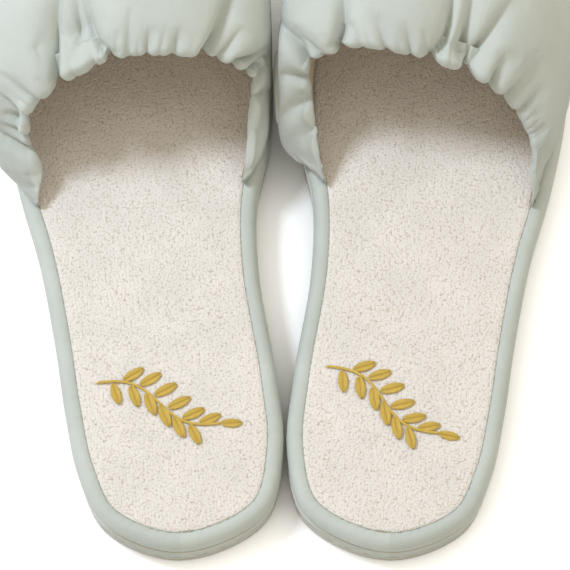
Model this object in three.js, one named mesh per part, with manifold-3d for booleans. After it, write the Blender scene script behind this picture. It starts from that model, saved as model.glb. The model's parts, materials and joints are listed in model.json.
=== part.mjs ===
import * as THREE from 'three';
import { mergeVertices } from 'three/addons/utils/BufferGeometryUtils.js';
import Module from 'manifold-3d';

// A pair of room slippers with gathered satin uppers, terry insoles and layered soles.
// Millimetres, +Z up, toes towards +Y. Each slipper is drawn as a right one, in a frame of its own:
// x runs across it (lateral side positive), y along it from the heel end, z up from the floor.

// ---- Plan of one sole ----
const SLIPPER_LENGTH = 260;
const HEEL_WIDTH = 72.6;
const WAIST_WIDTH = 73.2;
const BALL_WIDTH = 96.6;

// The outline, anticlockwise from the heel end: [width it belongs to, share across, share along].
const SOLE_OUTLINE = [
  [HEEL_WIDTH, 0.04, 0],
  [HEEL_WIDTH, 0.37, 0.047],
  [HEEL_WIDTH, 0.465, 0.115],
  [HEEL_WIDTH, 0.5, 0.2],
  [WAIST_WIDTH, 0.513, 0.3],
  [WAIST_WIDTH, 0.55, 0.42],
  [BALL_WIDTH, 0.467, 0.53],
  [BALL_WIDTH, 0.497, 0.65],
  [BALL_WIDTH, 0.483, 0.76],
  [BALL_WIDTH, 0.418, 0.87],
  [BALL_WIDTH, 0.235, 0.966],
  [BALL_WIDTH, -0.04, 1],
  [BALL_WIDTH, -0.29, 0.965],
  [BALL_WIDTH, -0.44, 0.88],
  [BALL_WIDTH, -0.5, 0.77],
  [BALL_WIDTH, -0.5, 0.67],
  [BALL_WIDTH, -0.456, 0.565],
  [BALL_WIDTH, -0.38, 0.475],
  [WAIST_WIDTH, -0.466, 0.37],
  [HEEL_WIDTH, -0.49, 0.22],
  [HEEL_WIDTH, -0.474, 0.115],
  [HEEL_WIDTH, -0.355, 0.035],
];

// ---- Layers of the sole, from the floor up ----
const OUTSOLE_THICKNESS = 3;
const PLATFORM_THICKNESS = 4.4;
const BOARD_THICKNESS = 1;
const CUSHION_THICKNESS = 4.2;
const TERRY_THICKNESS = 1.2;
const WRAP_CLOTH = 1;          // satin, folded over at the edges that it covers
const PLATFORM_WRAP_TURN = 4;  // how far the platform cover turns in over the platform
const WELT_WIDTH = 4.6;
const WELT_PROUD = 0.4;        // how far the welt stands out of the sole's side
const OUTSOLE_SETBACK = 0.6;   // how far the outsole lies inside the sole's side
const BORDER_WIDTH = 6.4;      // satin border seen from above, round the terry
const BORDER_ROUND = 3.2;      // radius of the border's outer top edge
const FIT = 0.3;               // clearance between pieces that touch

// ---- Upper ----
const UPPER_INSET = 4.4;       // from the sole's side in to the upper's seam
const WING_Y = 129;            // where both wings of the upper end
const THROAT_LEAN = 28;        // from the wing ends forward to the middle of the throat's edge
const THROAT_HEIGHT = 62;
const THROAT_SPAN = 37.5;      // half the throat's width
const SATIN_THICKNESS = 1;
const LINING_THICKNESS = 0.8;
const PADDING_THIN = 1;        // padding at the seam and at the throat
const PADDING_THICK = 3.6;     // padding in the middle
const ELASTIC_WIDTH = 6;
const ELASTIC_THICKNESS = 1;
const WING_RISE = 4;           // height of a wing's end above the seam, and its slant towards the toe
const SEAM_RISE = 0.42;        // how steeply the upper leaves the seam, as a share of its reach
const SEAM_BULGE = 0.08;       // how far it leans out there
const THROAT_PUFF = 0.25;      // how far it puffs out in front of the throat
const WING_FULLNESS = 1.6;     // how soon the wings grow full, going away from their ends

// ---- Flex line across the sole, behind the upper's wings ----
const FLEX_SETBACK = 8;
const FLEX_KERF = 0.6;
const flexLine = WING_Y - FLEX_SETBACK;

// ---- Thread work ----
const THREAD = 0.6;
const SEAM_OFFSET = 0.5;       // from the upper out to the thread of its seam
const MOTIF_HEIGHT = 0.9;
const MOTIF_X = 0;             // middle of the embroidered sprig, on the heel
const MOTIF_Y = 50;
const STEM_WIDTH = 1.6;
const LEAF_LENGTH = 9.5;
const LEAF_WIDTH = 3.4;
const LEAVES_PER_SIDE = 4;

// ---- The pair ----
const TOE_SPLAY = THREE.MathUtils.degToRad(7);
const PAIR_GAP = 0.8;          // between the two slippers, where they come nearest

// ---- Heights that follow from the layers ----
const platformFloor = OUTSOLE_THICKNESS + FIT;
const platformTop = platformFloor + PLATFORM_THICKNESS;
const boardFloor = platformTop + FIT;
const boardTop = boardFloor + BOARD_THICKNESS;
const cushionFloor = boardTop + FIT;
const cushionTop = cushionFloor + CUSHION_THICKNESS;
const terryFloor = cushionTop + FIT;
const terryTop = terryFloor + TERRY_THICKNESS;
const seamHeight = terryTop + FIT;

// ---- How finely the pieces are divided ----
const SOLE_STEPS = 24;
const UPPER_STEPS = 22;
const UPPER_ROWS = 7;
const ROUND_STEPS = 2;
const STEM_STEPS = 10;
const LEAF_STEPS = 4;
const SEARCH_STEPS = 40;
const TOE_SEARCH = 400;

const FINISHES = {
  satin: { color: 0xced3cc, roughness: 0.5, metalness: 0 },
  padding: { color: 0xf2f0ea, roughness: 0.95, metalness: 0 },
  lining: { color: 0xd9d4c6, roughness: 0.8, metalness: 0 },
  elastic: { color: 0xeceae4, roughness: 0.8, metalness: 0 },
  terry: { color: 0xebe7e0, roughness: 1, metalness: 0 },
  foam: { color: 0xe9e2cf, roughness: 0.9, metalness: 0 },
  board: { color: 0xc8b08a, roughness: 0.85, metalness: 0 },
  piping: { color: 0xdfe1db, roughness: 0.6, metalness: 0 },
  outsole: { color: 0xe4e2da, roughness: 0.75, metalness: 0 },
  thread: { color: 0xc3cac1, roughness: 0.6, metalness: 0 },
  goldThread: { color: 0xd6b552, roughness: 0.4, metalness: 0 },
};

const wasm = await Module();
wasm.setup();

const soleOutline = new THREE.CatmullRomCurve3(
  SOLE_OUTLINE.map(([width, across, along]) => new THREE.Vector3(width * across, along * SLIPPER_LENGTH, 0)),
  true,
  'centripetal',
);
soleOutline.arcLengthDivisions = TOE_SEARCH;

/** Outward direction, level with the floor, of the sole's side at a share of its length. */
function outwardAt(share) {
  const tangent = soleOutline.getTangentAt(share);
  return new THREE.Vector3(tangent.y, -tangent.x, 0).normalize();
}

/** Point at a share of the outline's length, moved in from the sole's side by `inset`. */
function outlineAt(share, inset) {
  return soleOutline.getPointAt(share).addScaledVector(outwardAt(share), -inset);
}

const toeShare = findToeShare();

/** Share of the outline's length at which it reaches the toe end. */
function findToeShare() {
  let best = 0;
  for (let step = 0; step < TOE_SEARCH; step += 1) {
    const share = step / TOE_SEARCH;
    if (soleOutline.getPointAt(share).y > soleOutline.getPointAt(best).y) best = share;
  }
  return best;
}

/** Share of the outline's length at which one side of it, moved in by `inset`, crosses a line y. */
function crossing(side, y, inset) {
  let low = side === 'lateral' ? 0 : 1;
  let high = toeShare;
  for (let step = 0; step < SEARCH_STEPS; step += 1) {
    const middle = (low + high) / 2;
    if (outlineAt(middle, inset).y < y) low = middle;
    else high = middle;
  }
  return (low + high) / 2;
}

/** Walk along the sole's side, round the toe in front of the line y. Returns share => point. */
function walkRoundToe(y, inset) {
  const from = crossing('lateral', y, inset);
  const to = crossing('medial', y, inset);
  return (share) => outlineAt(from + (to - from) * share, inset);
}

/** Walk along the sole's side, round the heel behind the line y. Returns share => point. */
function walkRoundHeel(y, inset) {
  const from = crossing('medial', y, inset);
  const to = 1 + crossing('lateral', y, inset);
  return (share) => outlineAt((from + (to - from) * share) % 1, inset);
}

/** The two sections that the flex line divides every sole layer into. */
const SECTIONS = {
  front: (inset) => walkRoundToe(flexLine + FLEX_KERF / 2, inset),
  heel: (inset) => walkRoundHeel(flexLine - FLEX_KERF / 2, inset),
};

/** Signed volume of a triangle mesh, positive when its faces point out. */
function signedVolume(points, faces) {
  let sum = 0;
  for (const [a, b, c] of faces) {
    sum += points[a].dot(new THREE.Vector3().crossVectors(points[b], points[c]));
  }
  return sum / 6;
}

/** Geometry of a closed mesh, turned so that its faces point out. */
function closedGeometry(points, faces) {
  const outward = signedVolume(points, faces) > 0;
  const index = faces.flatMap(([a, b, c]) => (outward ? [a, b, c] : [a, c, b]));
  const geometry = new THREE.BufferGeometry().setFromPoints(points);
  geometry.setIndex(index);
  return geometry;
}

/** Faces that close a flat ring of 2-D points, in the ring's own direction. */
function capFaces(ring) {
  const faces = THREE.ShapeUtils.triangulateShape(ring, []);
  return THREE.ShapeUtils.isClockWise(ring) ? faces.map(([a, b, c]) => [a, c, b]) : faces;
}

/**
 * Closed solid through rings of equal length, with `cap` closing the first and the last ring.
 * From ring point `turned` on, the side's quads are divided along their other diagonal.
 */
function loft(rings, cap, turned = Infinity) {
  const size = rings[0].length;
  const last = (rings.length - 1) * size;
  const faces = [];
  for (let ring = 0; ring < rings.length - 1; ring += 1) {
    for (let step = 0; step < size; step += 1) {
      const a = ring * size + step;
      const b = ring * size + ((step + 1) % size);
      if (step < turned) faces.push([a, b, b + size], [a, b + size, a + size]);
      else faces.push([a, b, a + size], [b, b + size, a + size]);
    }
  }
  for (const [a, b, c] of cap) faces.push([a, c, b], [a + last, b + last, c + last]);
  return closedGeometry(rings.flat(), faces);
}

/** A full layer of the sole: its side follows `profile`, a list of [inset, height], bottom first. */
function soleLayer(section, profile) {
  const rings = profile.map(([inset, height]) => {
    const walk = section(inset);
    return evenSteps(SOLE_STEPS).map((share) => walk(share).setZ(height));
  });
  return loft(rings, capFaces(rings[0].map(({ x, y }) => new THREE.Vector2(x, y))));
}

/** A band along the sole's side with a closed cross-section `profile`, a list of [inset, height]. */
function soleBand(walkAt, profile) {
  const walks = profile.map(([inset]) => walkAt(inset));
  const rings = evenSteps(SOLE_STEPS).map((share) => (
    walks.map((walk, corner) => walk(share).setZ(profile[corner][1]))
  ));
  return loft(rings, capFaces(profile.map(([inset, height]) => new THREE.Vector2(inset, height))));
}

/** The shares 0 to 1 in a number of even steps, both ends included. */
function evenSteps(count) {
  return Array.from({ length: count + 1 }, (_, step) => step / count);
}

/** Rectangle of a band's cross-section, from one inset and height to another. */
function bandSection(outer, inner, low, high) {
  return [[outer, low], [inner, low], [inner, high], [outer, high]];
}

/** Rounded outer top corner of a layer whose side lies at `inset` and whose top is at `top`. */
function roundedCorner(inset, top, radius) {
  return evenSteps(ROUND_STEPS).map((share) => {
    const angle = share * Math.PI / 2;
    return [inset + radius * (1 - Math.cos(angle)), top - radius * (1 - Math.sin(angle))];
  });
}

const makeOutsole = (section) => soleLayer(section, [
  [OUTSOLE_SETBACK, 0],
  [OUTSOLE_SETBACK, OUTSOLE_THICKNESS],
]);

const makePlatform = (section) => soleLayer(section, [
  [WRAP_CLOTH + FIT, platformFloor],
  [WRAP_CLOTH + FIT, platformTop - WRAP_CLOTH - FIT],
]);

/** Satin over the platform's side, turned in over its top. */
const makePlatformCover = (section) => soleBand(section, [
  [0, platformFloor],
  [WRAP_CLOTH, platformFloor],
  [WRAP_CLOTH, platformTop - WRAP_CLOTH],
  [WRAP_CLOTH + PLATFORM_WRAP_TURN, platformTop - WRAP_CLOTH],
  [WRAP_CLOTH + PLATFORM_WRAP_TURN, platformTop],
  [0, platformTop],
]);

const makeWelt = (section) => soleBand(section, bandSection(
  -WELT_PROUD,
  WELT_WIDTH - WELT_PROUD,
  boardFloor,
  boardTop,
));

const makeBoard = (section) => soleLayer(section, [
  [WELT_WIDTH - WELT_PROUD + FIT, boardFloor],
  [WELT_WIDTH - WELT_PROUD + FIT, boardTop],
]);

const makeCushion = (section) => soleLayer(section, [
  [WRAP_CLOTH + FIT, cushionFloor],
  ...roundedCorner(WRAP_CLOTH + FIT, cushionTop, BORDER_ROUND - WRAP_CLOTH - FIT),
]);

/** Satin border: it covers the cushion's side and its top as far in as the terry. */
const makeBorder = (section) => soleBand(section, [
  [0, cushionFloor],
  ...roundedCorner(0, terryTop, BORDER_ROUND),
  [BORDER_WIDTH, terryTop],
  [BORDER_WIDTH, terryTop - WRAP_CLOTH],
  ...roundedCorner(WRAP_CLOTH, terryTop - WRAP_CLOTH, BORDER_ROUND - WRAP_CLOTH).reverse(),
  [WRAP_CLOTH, cushionFloor],
]);

const makeTerry = (section) => soleLayer(section, [
  [BORDER_WIDTH + FIT, terryFloor],
  [BORDER_WIDTH + FIT, terryTop],
]);

/** Thread of the border's inner seam, round the heel. */
const makeBorderStitch = (section) => soleBand(section, bandSection(
  BORDER_WIDTH - THREAD,
  BORDER_WIDTH,
  terryTop + FIT,
  terryTop + FIT + THREAD,
));

/** Share of the outline's length at which the rib at `around` stands. */
function footShare(around) {
  const from = crossing('lateral', WING_Y, UPPER_INSET);
  const to = crossing('medial', WING_Y, UPPER_INSET);
  return from + (to - from) * around;
}

/**
 * Point on the throat's edge; `around` runs 0 to 1 from the lateral wing over to the medial wing.
 * Each end of the edge stands over the foot of its wing.
 */
function throatEdge(around) {
  const angle = around * Math.PI;
  const rise = Math.max(Math.sin(angle), 0);
  const side = Math.sign(Math.cos(angle)) * Math.abs(Math.cos(angle)) ** 0.6;
  const wingFoot = outlineAt(footShare(Math.round(around)), UPPER_INSET);
  return new THREE.Vector3(
    THREE.MathUtils.lerp(wingFoot.x, THROAT_SPAN * side, rise ** 0.5),
    WING_Y + WING_RISE + (THROAT_LEAN - WING_RISE) * rise ** 0.55,
    seamHeight + WING_RISE + (THROAT_HEIGHT - seamHeight - WING_RISE) * rise ** 0.8,
  );
}

/** How full the upper is on the rib at `around`: 0 at the wing ends, 1 from the sides to the toe. */
function fullnessAt(around) {
  return Math.min(Math.sin(around * Math.PI) * WING_FULLNESS, 1);
}

/** Curve up the upper's outside, from the sole seam to the throat's edge. */
function upperRib(around) {
  const share = footShare(around);
  const foot = outlineAt(share, UPPER_INSET).setZ(seamHeight);
  const throat = throatEdge(around);
  const straight = throat.clone().sub(foot).divideScalar(3);
  const reach = foot.distanceTo(throat);
  const angle = around * Math.PI;
  const rising = outwardAt(share).multiplyScalar(SEAM_BULGE).setZ(SEAM_RISE).multiplyScalar(reach);
  const puff = new THREE.Vector3(Math.cos(angle), 1, Math.sin(angle)).multiplyScalar(THROAT_PUFF * reach);
  return new THREE.CubicBezierCurve3(
    foot,
    straight.clone().lerp(rising, fullnessAt(around)).add(foot),
    straight.clone().negate().lerp(puff, fullnessAt(around)).add(throat),
    throat,
  );
}

/** Direction out of the upper's surface on a rib. The wing ends face level, straight off the sole. */
function upperNormal(around, rise) {
  const step = 0.01;
  const back = upperRib(Math.max(around - step, 0)).getPoint(rise);
  const ahead = upperRib(Math.min(around + step, 1)).getPoint(rise);
  const normal = ahead.sub(back).cross(upperRib(around).getTangent(rise)).normalize();
  return normal.lerp(outwardAt(footShare(around)), 1 - fullnessAt(around)).normalize();
}

/** Rise at which the casing of the elastic starts, on the rib at `around`. */
function casingRise(around) {
  return 1 - Math.min((ELASTIC_WIDTH + FIT) / upperRib(around).getLength(), 0.5);
}

/** Rises of the rows from the seam to the casing, with `extra` ones after them. */
function upperRows(around, extra) {
  const start = casingRise(around);
  return [...evenSteps(UPPER_ROWS).map((share) => share * start), ...extra];
}

/** The elastic's own two rows, clear of the padding's edge. */
function elasticRows(around) {
  return [casingRise(around) + FIT / upperRib(around).getLength(), 1];
}

/**
 * One layer of the upper between two depths below its outside; a depth is a function of the rise.
 * Every layer ends level on the sole seam.
 */
function upperLayer(outerDepth, innerDepth, rowsAt) {
  const rings = evenSteps(UPPER_STEPS).map((around) => {
    const rib = upperRib(around);
    const rises = rowsAt(around);
    const at = (rise, depth) => {
      const point = rib.getPoint(rise).addScaledVector(upperNormal(around, rise), -depth);
      return rise === 0 ? point.setZ(seamHeight) : point;
    };
    return [
      ...rises.map((rise) => at(rise, outerDepth(rise))),
      ...rises.map((rise) => at(rise, innerDepth(rise))).reverse(),
    ];
  });
  const rows = rings[0].length / 2;
  const cap = [];
  for (let row = 0; row < rows - 1; row += 1) {
    const facing = 2 * rows - 1 - row;
    cap.push([row, row + 1, facing - 1], [row, facing - 1, facing]);
  }
  return loft(rings, cap, rows);
}

/** Thickness of the padding, full in the middle and thin at the seam and at the throat. */
function paddingAt(rise) {
  return PADDING_THIN + (PADDING_THICK - PADDING_THIN) * Math.sin(Math.PI * rise);
}

const satinDepth = () => SATIN_THICKNESS;
const paddingTopDepth = () => SATIN_THICKNESS + FIT;
const paddingFloorDepth = (rise) => paddingTopDepth() + paddingAt(rise);
const elasticFloorDepth = () => paddingTopDepth() + ELASTIC_THICKNESS;
const liningTopDepth = (rise) => paddingFloorDepth(rise) + FIT;
const liningFloorDepth = (rise) => liningTopDepth(rise) + LINING_THICKNESS;

const wholeRows = (around) => upperRows(around, [1]);
const paddedRows = (around) => upperRows(around, []);

const makeUpperOuter = () => upperLayer(() => 0, satinDepth, wholeRows);
const makeUpperPadding = () => upperLayer(paddingTopDepth, paddingFloorDepth, paddedRows);
const makeUpperLining = () => upperLayer(liningTopDepth, liningFloorDepth, wholeRows);
const makeThroatElastic = () => upperLayer(paddingTopDepth, elasticFloorDepth, elasticRows);

/** Thread of the seam that joins the upper to the border, just outside the upper. */
function makeUpperStitch() {
  const section = bandSection(
    UPPER_INSET - SEAM_OFFSET - THREAD,
    UPPER_INSET - SEAM_OFFSET,
    seamHeight,
    seamHeight + THREAD,
  );
  const rings = evenSteps(UPPER_STEPS).map((around) => {
    const share = footShare(around);
    return section.map(([inset, height]) => outlineAt(share, inset).setZ(height));
  });
  return loft(rings, capFaces(section.map(([inset, height]) => new THREE.Vector2(inset, height))));
}

/** Solid of the boolean library from a closed geometry. */
function toSolid(geometry) {
  const bare = geometry.clone();
  bare.deleteAttribute('normal');
  bare.deleteAttribute('uv');
  const merged = mergeVertices(bare);
  return new wasm.Manifold(new wasm.Mesh({
    numProp: 3,
    vertProperties: new Float32Array(merged.attributes.position.array),
    triVerts: new Uint32Array(merged.index.array),
  }));
}

/** Geometry of a boolean library solid. */
function toGeometry(solid) {
  const mesh = solid.getMesh();
  const geometry = new THREE.BufferGeometry();
  geometry.setAttribute('position', new THREE.BufferAttribute(new Float32Array(mesh.vertProperties), 3));
  geometry.setIndex(new THREE.BufferAttribute(new Uint32Array(mesh.triVerts), 1));
  return geometry;
}

/** Middle line of the sprig's stem, about the sprig's own middle. */
const stemLine = new THREE.CatmullRomCurve3([
  new THREE.Vector3(-22, 10, 0),
  new THREE.Vector3(-10, 9, 0),
  new THREE.Vector3(0, 1, 0),
  new THREE.Vector3(8, -6, 0),
  new THREE.Vector3(16, -7, 0),
]);

/** Flat outline raised to the sprig's height. */
function raised(points) {
  return new THREE.ExtrudeGeometry(new THREE.Shape(points), { depth: MOTIF_HEIGHT, bevelEnabled: false });
}

function makeStem() {
  const edge = (share, offset) => {
    const point = stemLine.getPointAt(share);
    const tangent = stemLine.getTangentAt(share);
    return new THREE.Vector2(point.x + tangent.y * offset, point.y - tangent.x * offset);
  };
  const shares = evenSteps(STEM_STEPS);
  return raised([
    ...shares.map((share) => edge(share, STEM_WIDTH / 2)),
    ...shares.map((share) => edge(share, -STEM_WIDTH / 2)).reverse(),
  ]);
}

/** Pointed leaf from (0, 0) along +X. */
function makeLeaf() {
  const side = (sign) => evenSteps(LEAF_STEPS).map((share) => (
    new THREE.Vector2(share * LEAF_LENGTH, sign * LEAF_WIDTH / 2 * Math.sin(Math.PI * share))
  ));
  return raised([...side(-1), ...side(1).reverse().slice(1, -1)]);
}

/** Gold sprig: a curved stem with leaves on both sides and one at its tip. */
function makeEmbroidery() {
  let sprig = toSolid(makeStem());
  const places = [{ share: 0.995, turn: 0 }];
  for (let leaf = 0; leaf < LEAVES_PER_SIDE; leaf += 1) {
    const share = (leaf + 0.5) / LEAVES_PER_SIDE;
    places.push({ share: share - 0.05, turn: 0.9 }, { share: share + 0.05, turn: -0.9 });
  }
  for (const { share, turn } of places) {
    const point = stemLine.getPointAt(share);
    const tangent = stemLine.getTangentAt(share);
    const leaf = makeLeaf();
    leaf.rotateZ(Math.atan2(tangent.y, tangent.x) + turn);
    leaf.translate(point.x, point.y, 0);
    sprig = sprig.add(toSolid(leaf));
  }
  return toGeometry(sprig);
}

/** The same geometry seen in a mirror, across the plane x = 0. */
function mirrored(geometry) {
  const copy = geometry.clone().scale(-1, 1, 1);
  const index = copy.index.array;
  for (let corner = 0; corner < index.length; corner += 3) {
    [index[corner + 1], index[corner + 2]] = [index[corner + 2], index[corner + 1]];
  }
  return copy;
}

const SOLE_PIECES = [
  ['outsole', makeOutsole, FINISHES.outsole],
  ['platform', makePlatform, FINISHES.foam],
  ['platform_cover', makePlatformCover, FINISHES.satin],
  ['welt', makeWelt, FINISHES.piping],
  ['insole_board', makeBoard, FINISHES.board],
  ['cushion', makeCushion, FINISHES.foam],
  ['border', makeBorder, FINISHES.satin],
  ['terry', makeTerry, FINISHES.terry],
];

const UPPER_PIECES = [
  ['upper_outer', makeUpperOuter, FINISHES.satin],
  ['upper_padding', makeUpperPadding, FINISHES.padding],
  ['upper_lining', makeUpperLining, FINISHES.lining],
  ['throat_elastic', makeThroatElastic, FINISHES.elastic],
  ['upper_stitch', makeUpperStitch, FINISHES.thread],
];

/** One slipper in its own frame. `side` is 'right' or 'left'. */
function makeSlipper(side) {
  const slipper = new THREE.Group();
  const place = (name, geometry, finish) => {
    const mesh = new THREE.Mesh(geometry, new THREE.MeshStandardMaterial(finish));
    mesh.name = `${side}_${name}`;
    slipper.add(mesh);
    return mesh;
  };
  const handed = (geometry) => (side === 'left' ? mirrored(geometry) : geometry);
  for (const [name, make, finish] of SOLE_PIECES) {
    for (const [section, walk] of Object.entries(SECTIONS)) {
      place(`${name}_${section}`, handed(make(walk)), finish);
    }
  }
  place('border_stitch', handed(makeBorderStitch(SECTIONS.heel)), FINISHES.thread);
  for (const [name, make, finish] of UPPER_PIECES) place(name, handed(make()), finish);
  // The sprig reads the same way on both slippers, so it is moved but not mirrored.
  const sprig = place('heel_embroidery', makeEmbroidery(), FINISHES.goldThread);
  sprig.position.set(side === 'left' ? -MOTIF_X : MOTIF_X, MOTIF_Y, terryTop + FIT);
  return slipper;
}

/** Both slippers, toes apart, standing over the middle of the box that they fill. */
function makePair() {
  const pair = new THREE.Group();
  for (const [side, sign] of [['left', -1], ['right', 1]]) {
    const slipper = makeSlipper(side);
    slipper.rotation.z = -sign * TOE_SPLAY;
    const box = new THREE.Box3().setFromObject(slipper, true);
    const inner = sign > 0 ? box.min.x : -box.max.x;
    slipper.position.x = sign * (PAIR_GAP / 2 - inner);
    pair.add(slipper);
  }
  pair.position.y = -new THREE.Box3().setFromObject(pair, true).getCenter(new THREE.Vector3()).y;
  return pair;
}

export default makePair();
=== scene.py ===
"""Looks of a pair of room slippers: gathered satin uppers, terry insoles and layered soles.

Lengths in the classes below are millimetres in a slipper's own frame, where x runs across it (lateral
side positive), y along it from the heel end and z up from the floor. Place turns them into the metres
of the row frame.
"""

import json
import logging
import math
from dataclasses import dataclass, field
from enum import Enum
from typing import Callable, Sequence

import bpy
import numpy as np
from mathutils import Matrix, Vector


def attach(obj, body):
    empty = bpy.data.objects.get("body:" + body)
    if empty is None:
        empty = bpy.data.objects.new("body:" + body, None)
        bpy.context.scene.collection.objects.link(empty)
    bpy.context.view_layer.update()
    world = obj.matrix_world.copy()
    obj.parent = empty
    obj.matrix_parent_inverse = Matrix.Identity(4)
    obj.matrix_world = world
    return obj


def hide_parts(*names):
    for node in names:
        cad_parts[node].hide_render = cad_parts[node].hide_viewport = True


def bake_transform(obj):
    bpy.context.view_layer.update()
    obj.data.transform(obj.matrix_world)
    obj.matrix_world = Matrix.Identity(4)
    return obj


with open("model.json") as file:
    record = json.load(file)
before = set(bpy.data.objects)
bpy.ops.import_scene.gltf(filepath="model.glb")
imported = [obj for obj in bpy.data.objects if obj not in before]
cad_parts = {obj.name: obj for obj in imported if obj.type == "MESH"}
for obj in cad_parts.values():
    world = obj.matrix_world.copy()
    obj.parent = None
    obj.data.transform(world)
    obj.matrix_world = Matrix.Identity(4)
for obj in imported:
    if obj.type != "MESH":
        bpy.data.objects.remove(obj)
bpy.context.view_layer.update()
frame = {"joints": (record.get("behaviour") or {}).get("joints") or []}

MM = 0.001
LOG = logging.getLogger("slippers")


class Side(Enum):
    """Which foot a slipper is for."""

    LEFT = "left"
    RIGHT = "right"


class Half(Enum):
    """One side of the sole's outline, seen from the heel."""

    LATERAL = "lateral"
    MEDIAL = "medial"


# --------------------------------------------------------------------------------------------------
# Plan of the sole
# --------------------------------------------------------------------------------------------------


@dataclass(frozen=True)
class SolePlan:
    """Outline of a right sole seen from above.

    Each station is (width it belongs to, share across, share along), anticlockwise from the heel end.
    """

    length: float = 260.0
    heel: float = 72.6
    waist: float = 73.2
    ball: float = 96.6
    stations: tuple = (
        ("heel", 0.04, 0.0),
        ("heel", 0.37, 0.047),
        ("heel", 0.465, 0.115),
        ("heel", 0.5, 0.2),
        ("waist", 0.513, 0.3),
        ("waist", 0.55, 0.42),
        ("ball", 0.467, 0.53),
        ("ball", 0.497, 0.65),
        ("ball", 0.483, 0.76),
        ("ball", 0.418, 0.87),
        ("ball", 0.235, 0.966),
        ("ball", -0.04, 1.0),
        ("ball", -0.29, 0.965),
        ("ball", -0.44, 0.88),
        ("ball", -0.5, 0.77),
        ("ball", -0.5, 0.67),
        ("ball", -0.456, 0.565),
        ("ball", -0.38, 0.475),
        ("waist", -0.466, 0.37),
        ("heel", -0.49, 0.22),
        ("heel", -0.474, 0.115),
        ("heel", -0.355, 0.035),
    )

    def knots(self) -> np.ndarray:
        """Returns the stations as points, in millimetres."""
        return np.array([(getattr(self, w) * x, self.length * y) for w, x, y in self.stations])


class Outline:
    """The sole's outline as a smooth closed line that can be walked, moved inwards and crossed."""

    FINE = 60

    def __init__(self, plan: SolePlan) -> None:
        """Samples the line.

        Args:
            plan: the stations that the line passes through.
        """
        knots = plan.knots()
        points = []
        for k in range(len(knots)):
            quad = [knots[(k + step) % len(knots)] for step in (-1, 0, 1, 2)]
            points.append(self._piece(quad))
        line = np.concatenate(points)
        steps = np.linalg.norm(np.diff(np.vstack([line, line[:1]]), axis=0), axis=1)
        self.perimeter = float(steps.sum())
        self._share = np.concatenate([[0.0], np.cumsum(steps)]) / self.perimeter
        self._line = np.vstack([line, line[:1]])
        ahead = np.roll(line, -1, axis=0) - np.roll(line, 1, axis=0)
        outward = np.stack([ahead[:, 1], -ahead[:, 0]], axis=1)
        outward /= np.linalg.norm(outward, axis=1)[:, None]
        self._outward = np.vstack([outward, outward[:1]])
        self.toe = float(self._share[int(np.argmax(self._line[:, 1]))])

    def _piece(self, quad: Sequence[np.ndarray]) -> np.ndarray:
        """One centripetal stretch between the two middle points of four.

        Args:
            quad: four neighbouring points.

        Returns:
            Points from the second to just before the third.
        """
        t = [0.0]
        for a, b in zip(quad, quad[1:]):
            t.append(t[-1] + math.sqrt(float(np.linalg.norm(b - a))))
        s = np.linspace(t[1], t[2], self.FINE, endpoint=False)[:, None]

        def mix(a: np.ndarray, b: np.ndarray, low: float, high: float) -> np.ndarray:
            """Line through a at low and b at high."""
            return a * (high - s) / (high - low) + b * (s - low) / (high - low)

        first = [mix(quad[k], quad[k + 1], t[k], t[k + 1]) for k in range(3)]
        second = [mix(first[k], first[k + 1], t[k], t[k + 2]) for k in range(2)]
        return mix(second[0], second[1], t[1], t[2])

    def outward(self, share: np.ndarray) -> np.ndarray:
        """Directions square to the outline, pointing out of the sole, at shares of its length."""
        share = np.mod(share, 1.0)
        found = np.stack([np.interp(share, self._share, self._outward[:, k]) for k in (0, 1)], axis=-1)
        return found / np.linalg.norm(found, axis=-1)[..., None]

    def at(self, share: np.ndarray, inset: float | np.ndarray = 0.0) -> np.ndarray:
        """Points of the outline, moved inwards.

        Args:
            share: shares of the outline's length.
            inset: how far in from the sole's side, in millimetres.

        Returns:
            An array of (x, y) points.
        """
        share = np.asarray(share, float)
        wrapped = np.mod(share, 1.0)
        point = np.stack([np.interp(wrapped, self._share, self._line[:, k]) for k in (0, 1)], axis=-1)
        return point - self.outward(share) * np.asarray(inset)[..., None]

    def crossing(self, half: Half, y: float, inset: float = 0.0) -> float:
        """Share of the length at which one half of the outline crosses a line across the sole.

        Args:
            half: which half.
            y: distance of the line from the heel end.
            inset: how far in from the sole's side.

        Returns:
            The share, 0 to 1.
        """
        ends = (0.0, self.toe) if half is Half.LATERAL else (1.0, self.toe)
        shares = np.linspace(*ends, 1500)
        return float(np.interp(y, self.at(shares, inset)[:, 1], shares))

    def span(self, y: np.ndarray, inset: float) -> tuple[np.ndarray, np.ndarray]:
        """Medial and lateral reach of the sole at distances y from the heel end.

        Args:
            y: the distances.
            inset: how far in from the sole's side.

        Returns:
            Two arrays of x.
        """
        lateral = self.at(np.linspace(0.0, self.toe, 1500), inset)
        medial = self.at(np.linspace(1.0, self.toe, 1500), inset)
        return np.interp(y, medial[:, 1], medial[:, 0]), np.interp(y, lateral[:, 1], lateral[:, 0])


PLAN = SolePlan()
OUTLINE = Outline(PLAN)


# --------------------------------------------------------------------------------------------------
# Layers and clearances, the same as the frame's
# --------------------------------------------------------------------------------------------------


@dataclass(frozen=True)
class Stack:
    """Heights of the sole's layers above the floor."""

    outsole: tuple[float, float] = (0.0, 3.0)
    platform: tuple[float, float] = (3.3, 7.7)
    board: tuple[float, float] = (8.0, 9.0)
    cushion: tuple[float, float] = (9.3, 13.5)
    terry: tuple[float, float] = (13.8, 15.0)
    border_width: float = 5.4
    cloth: float = 1.0
    fit: float = 0.3


STACK = Stack()


# --------------------------------------------------------------------------------------------------
# Meshes
# --------------------------------------------------------------------------------------------------


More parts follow.
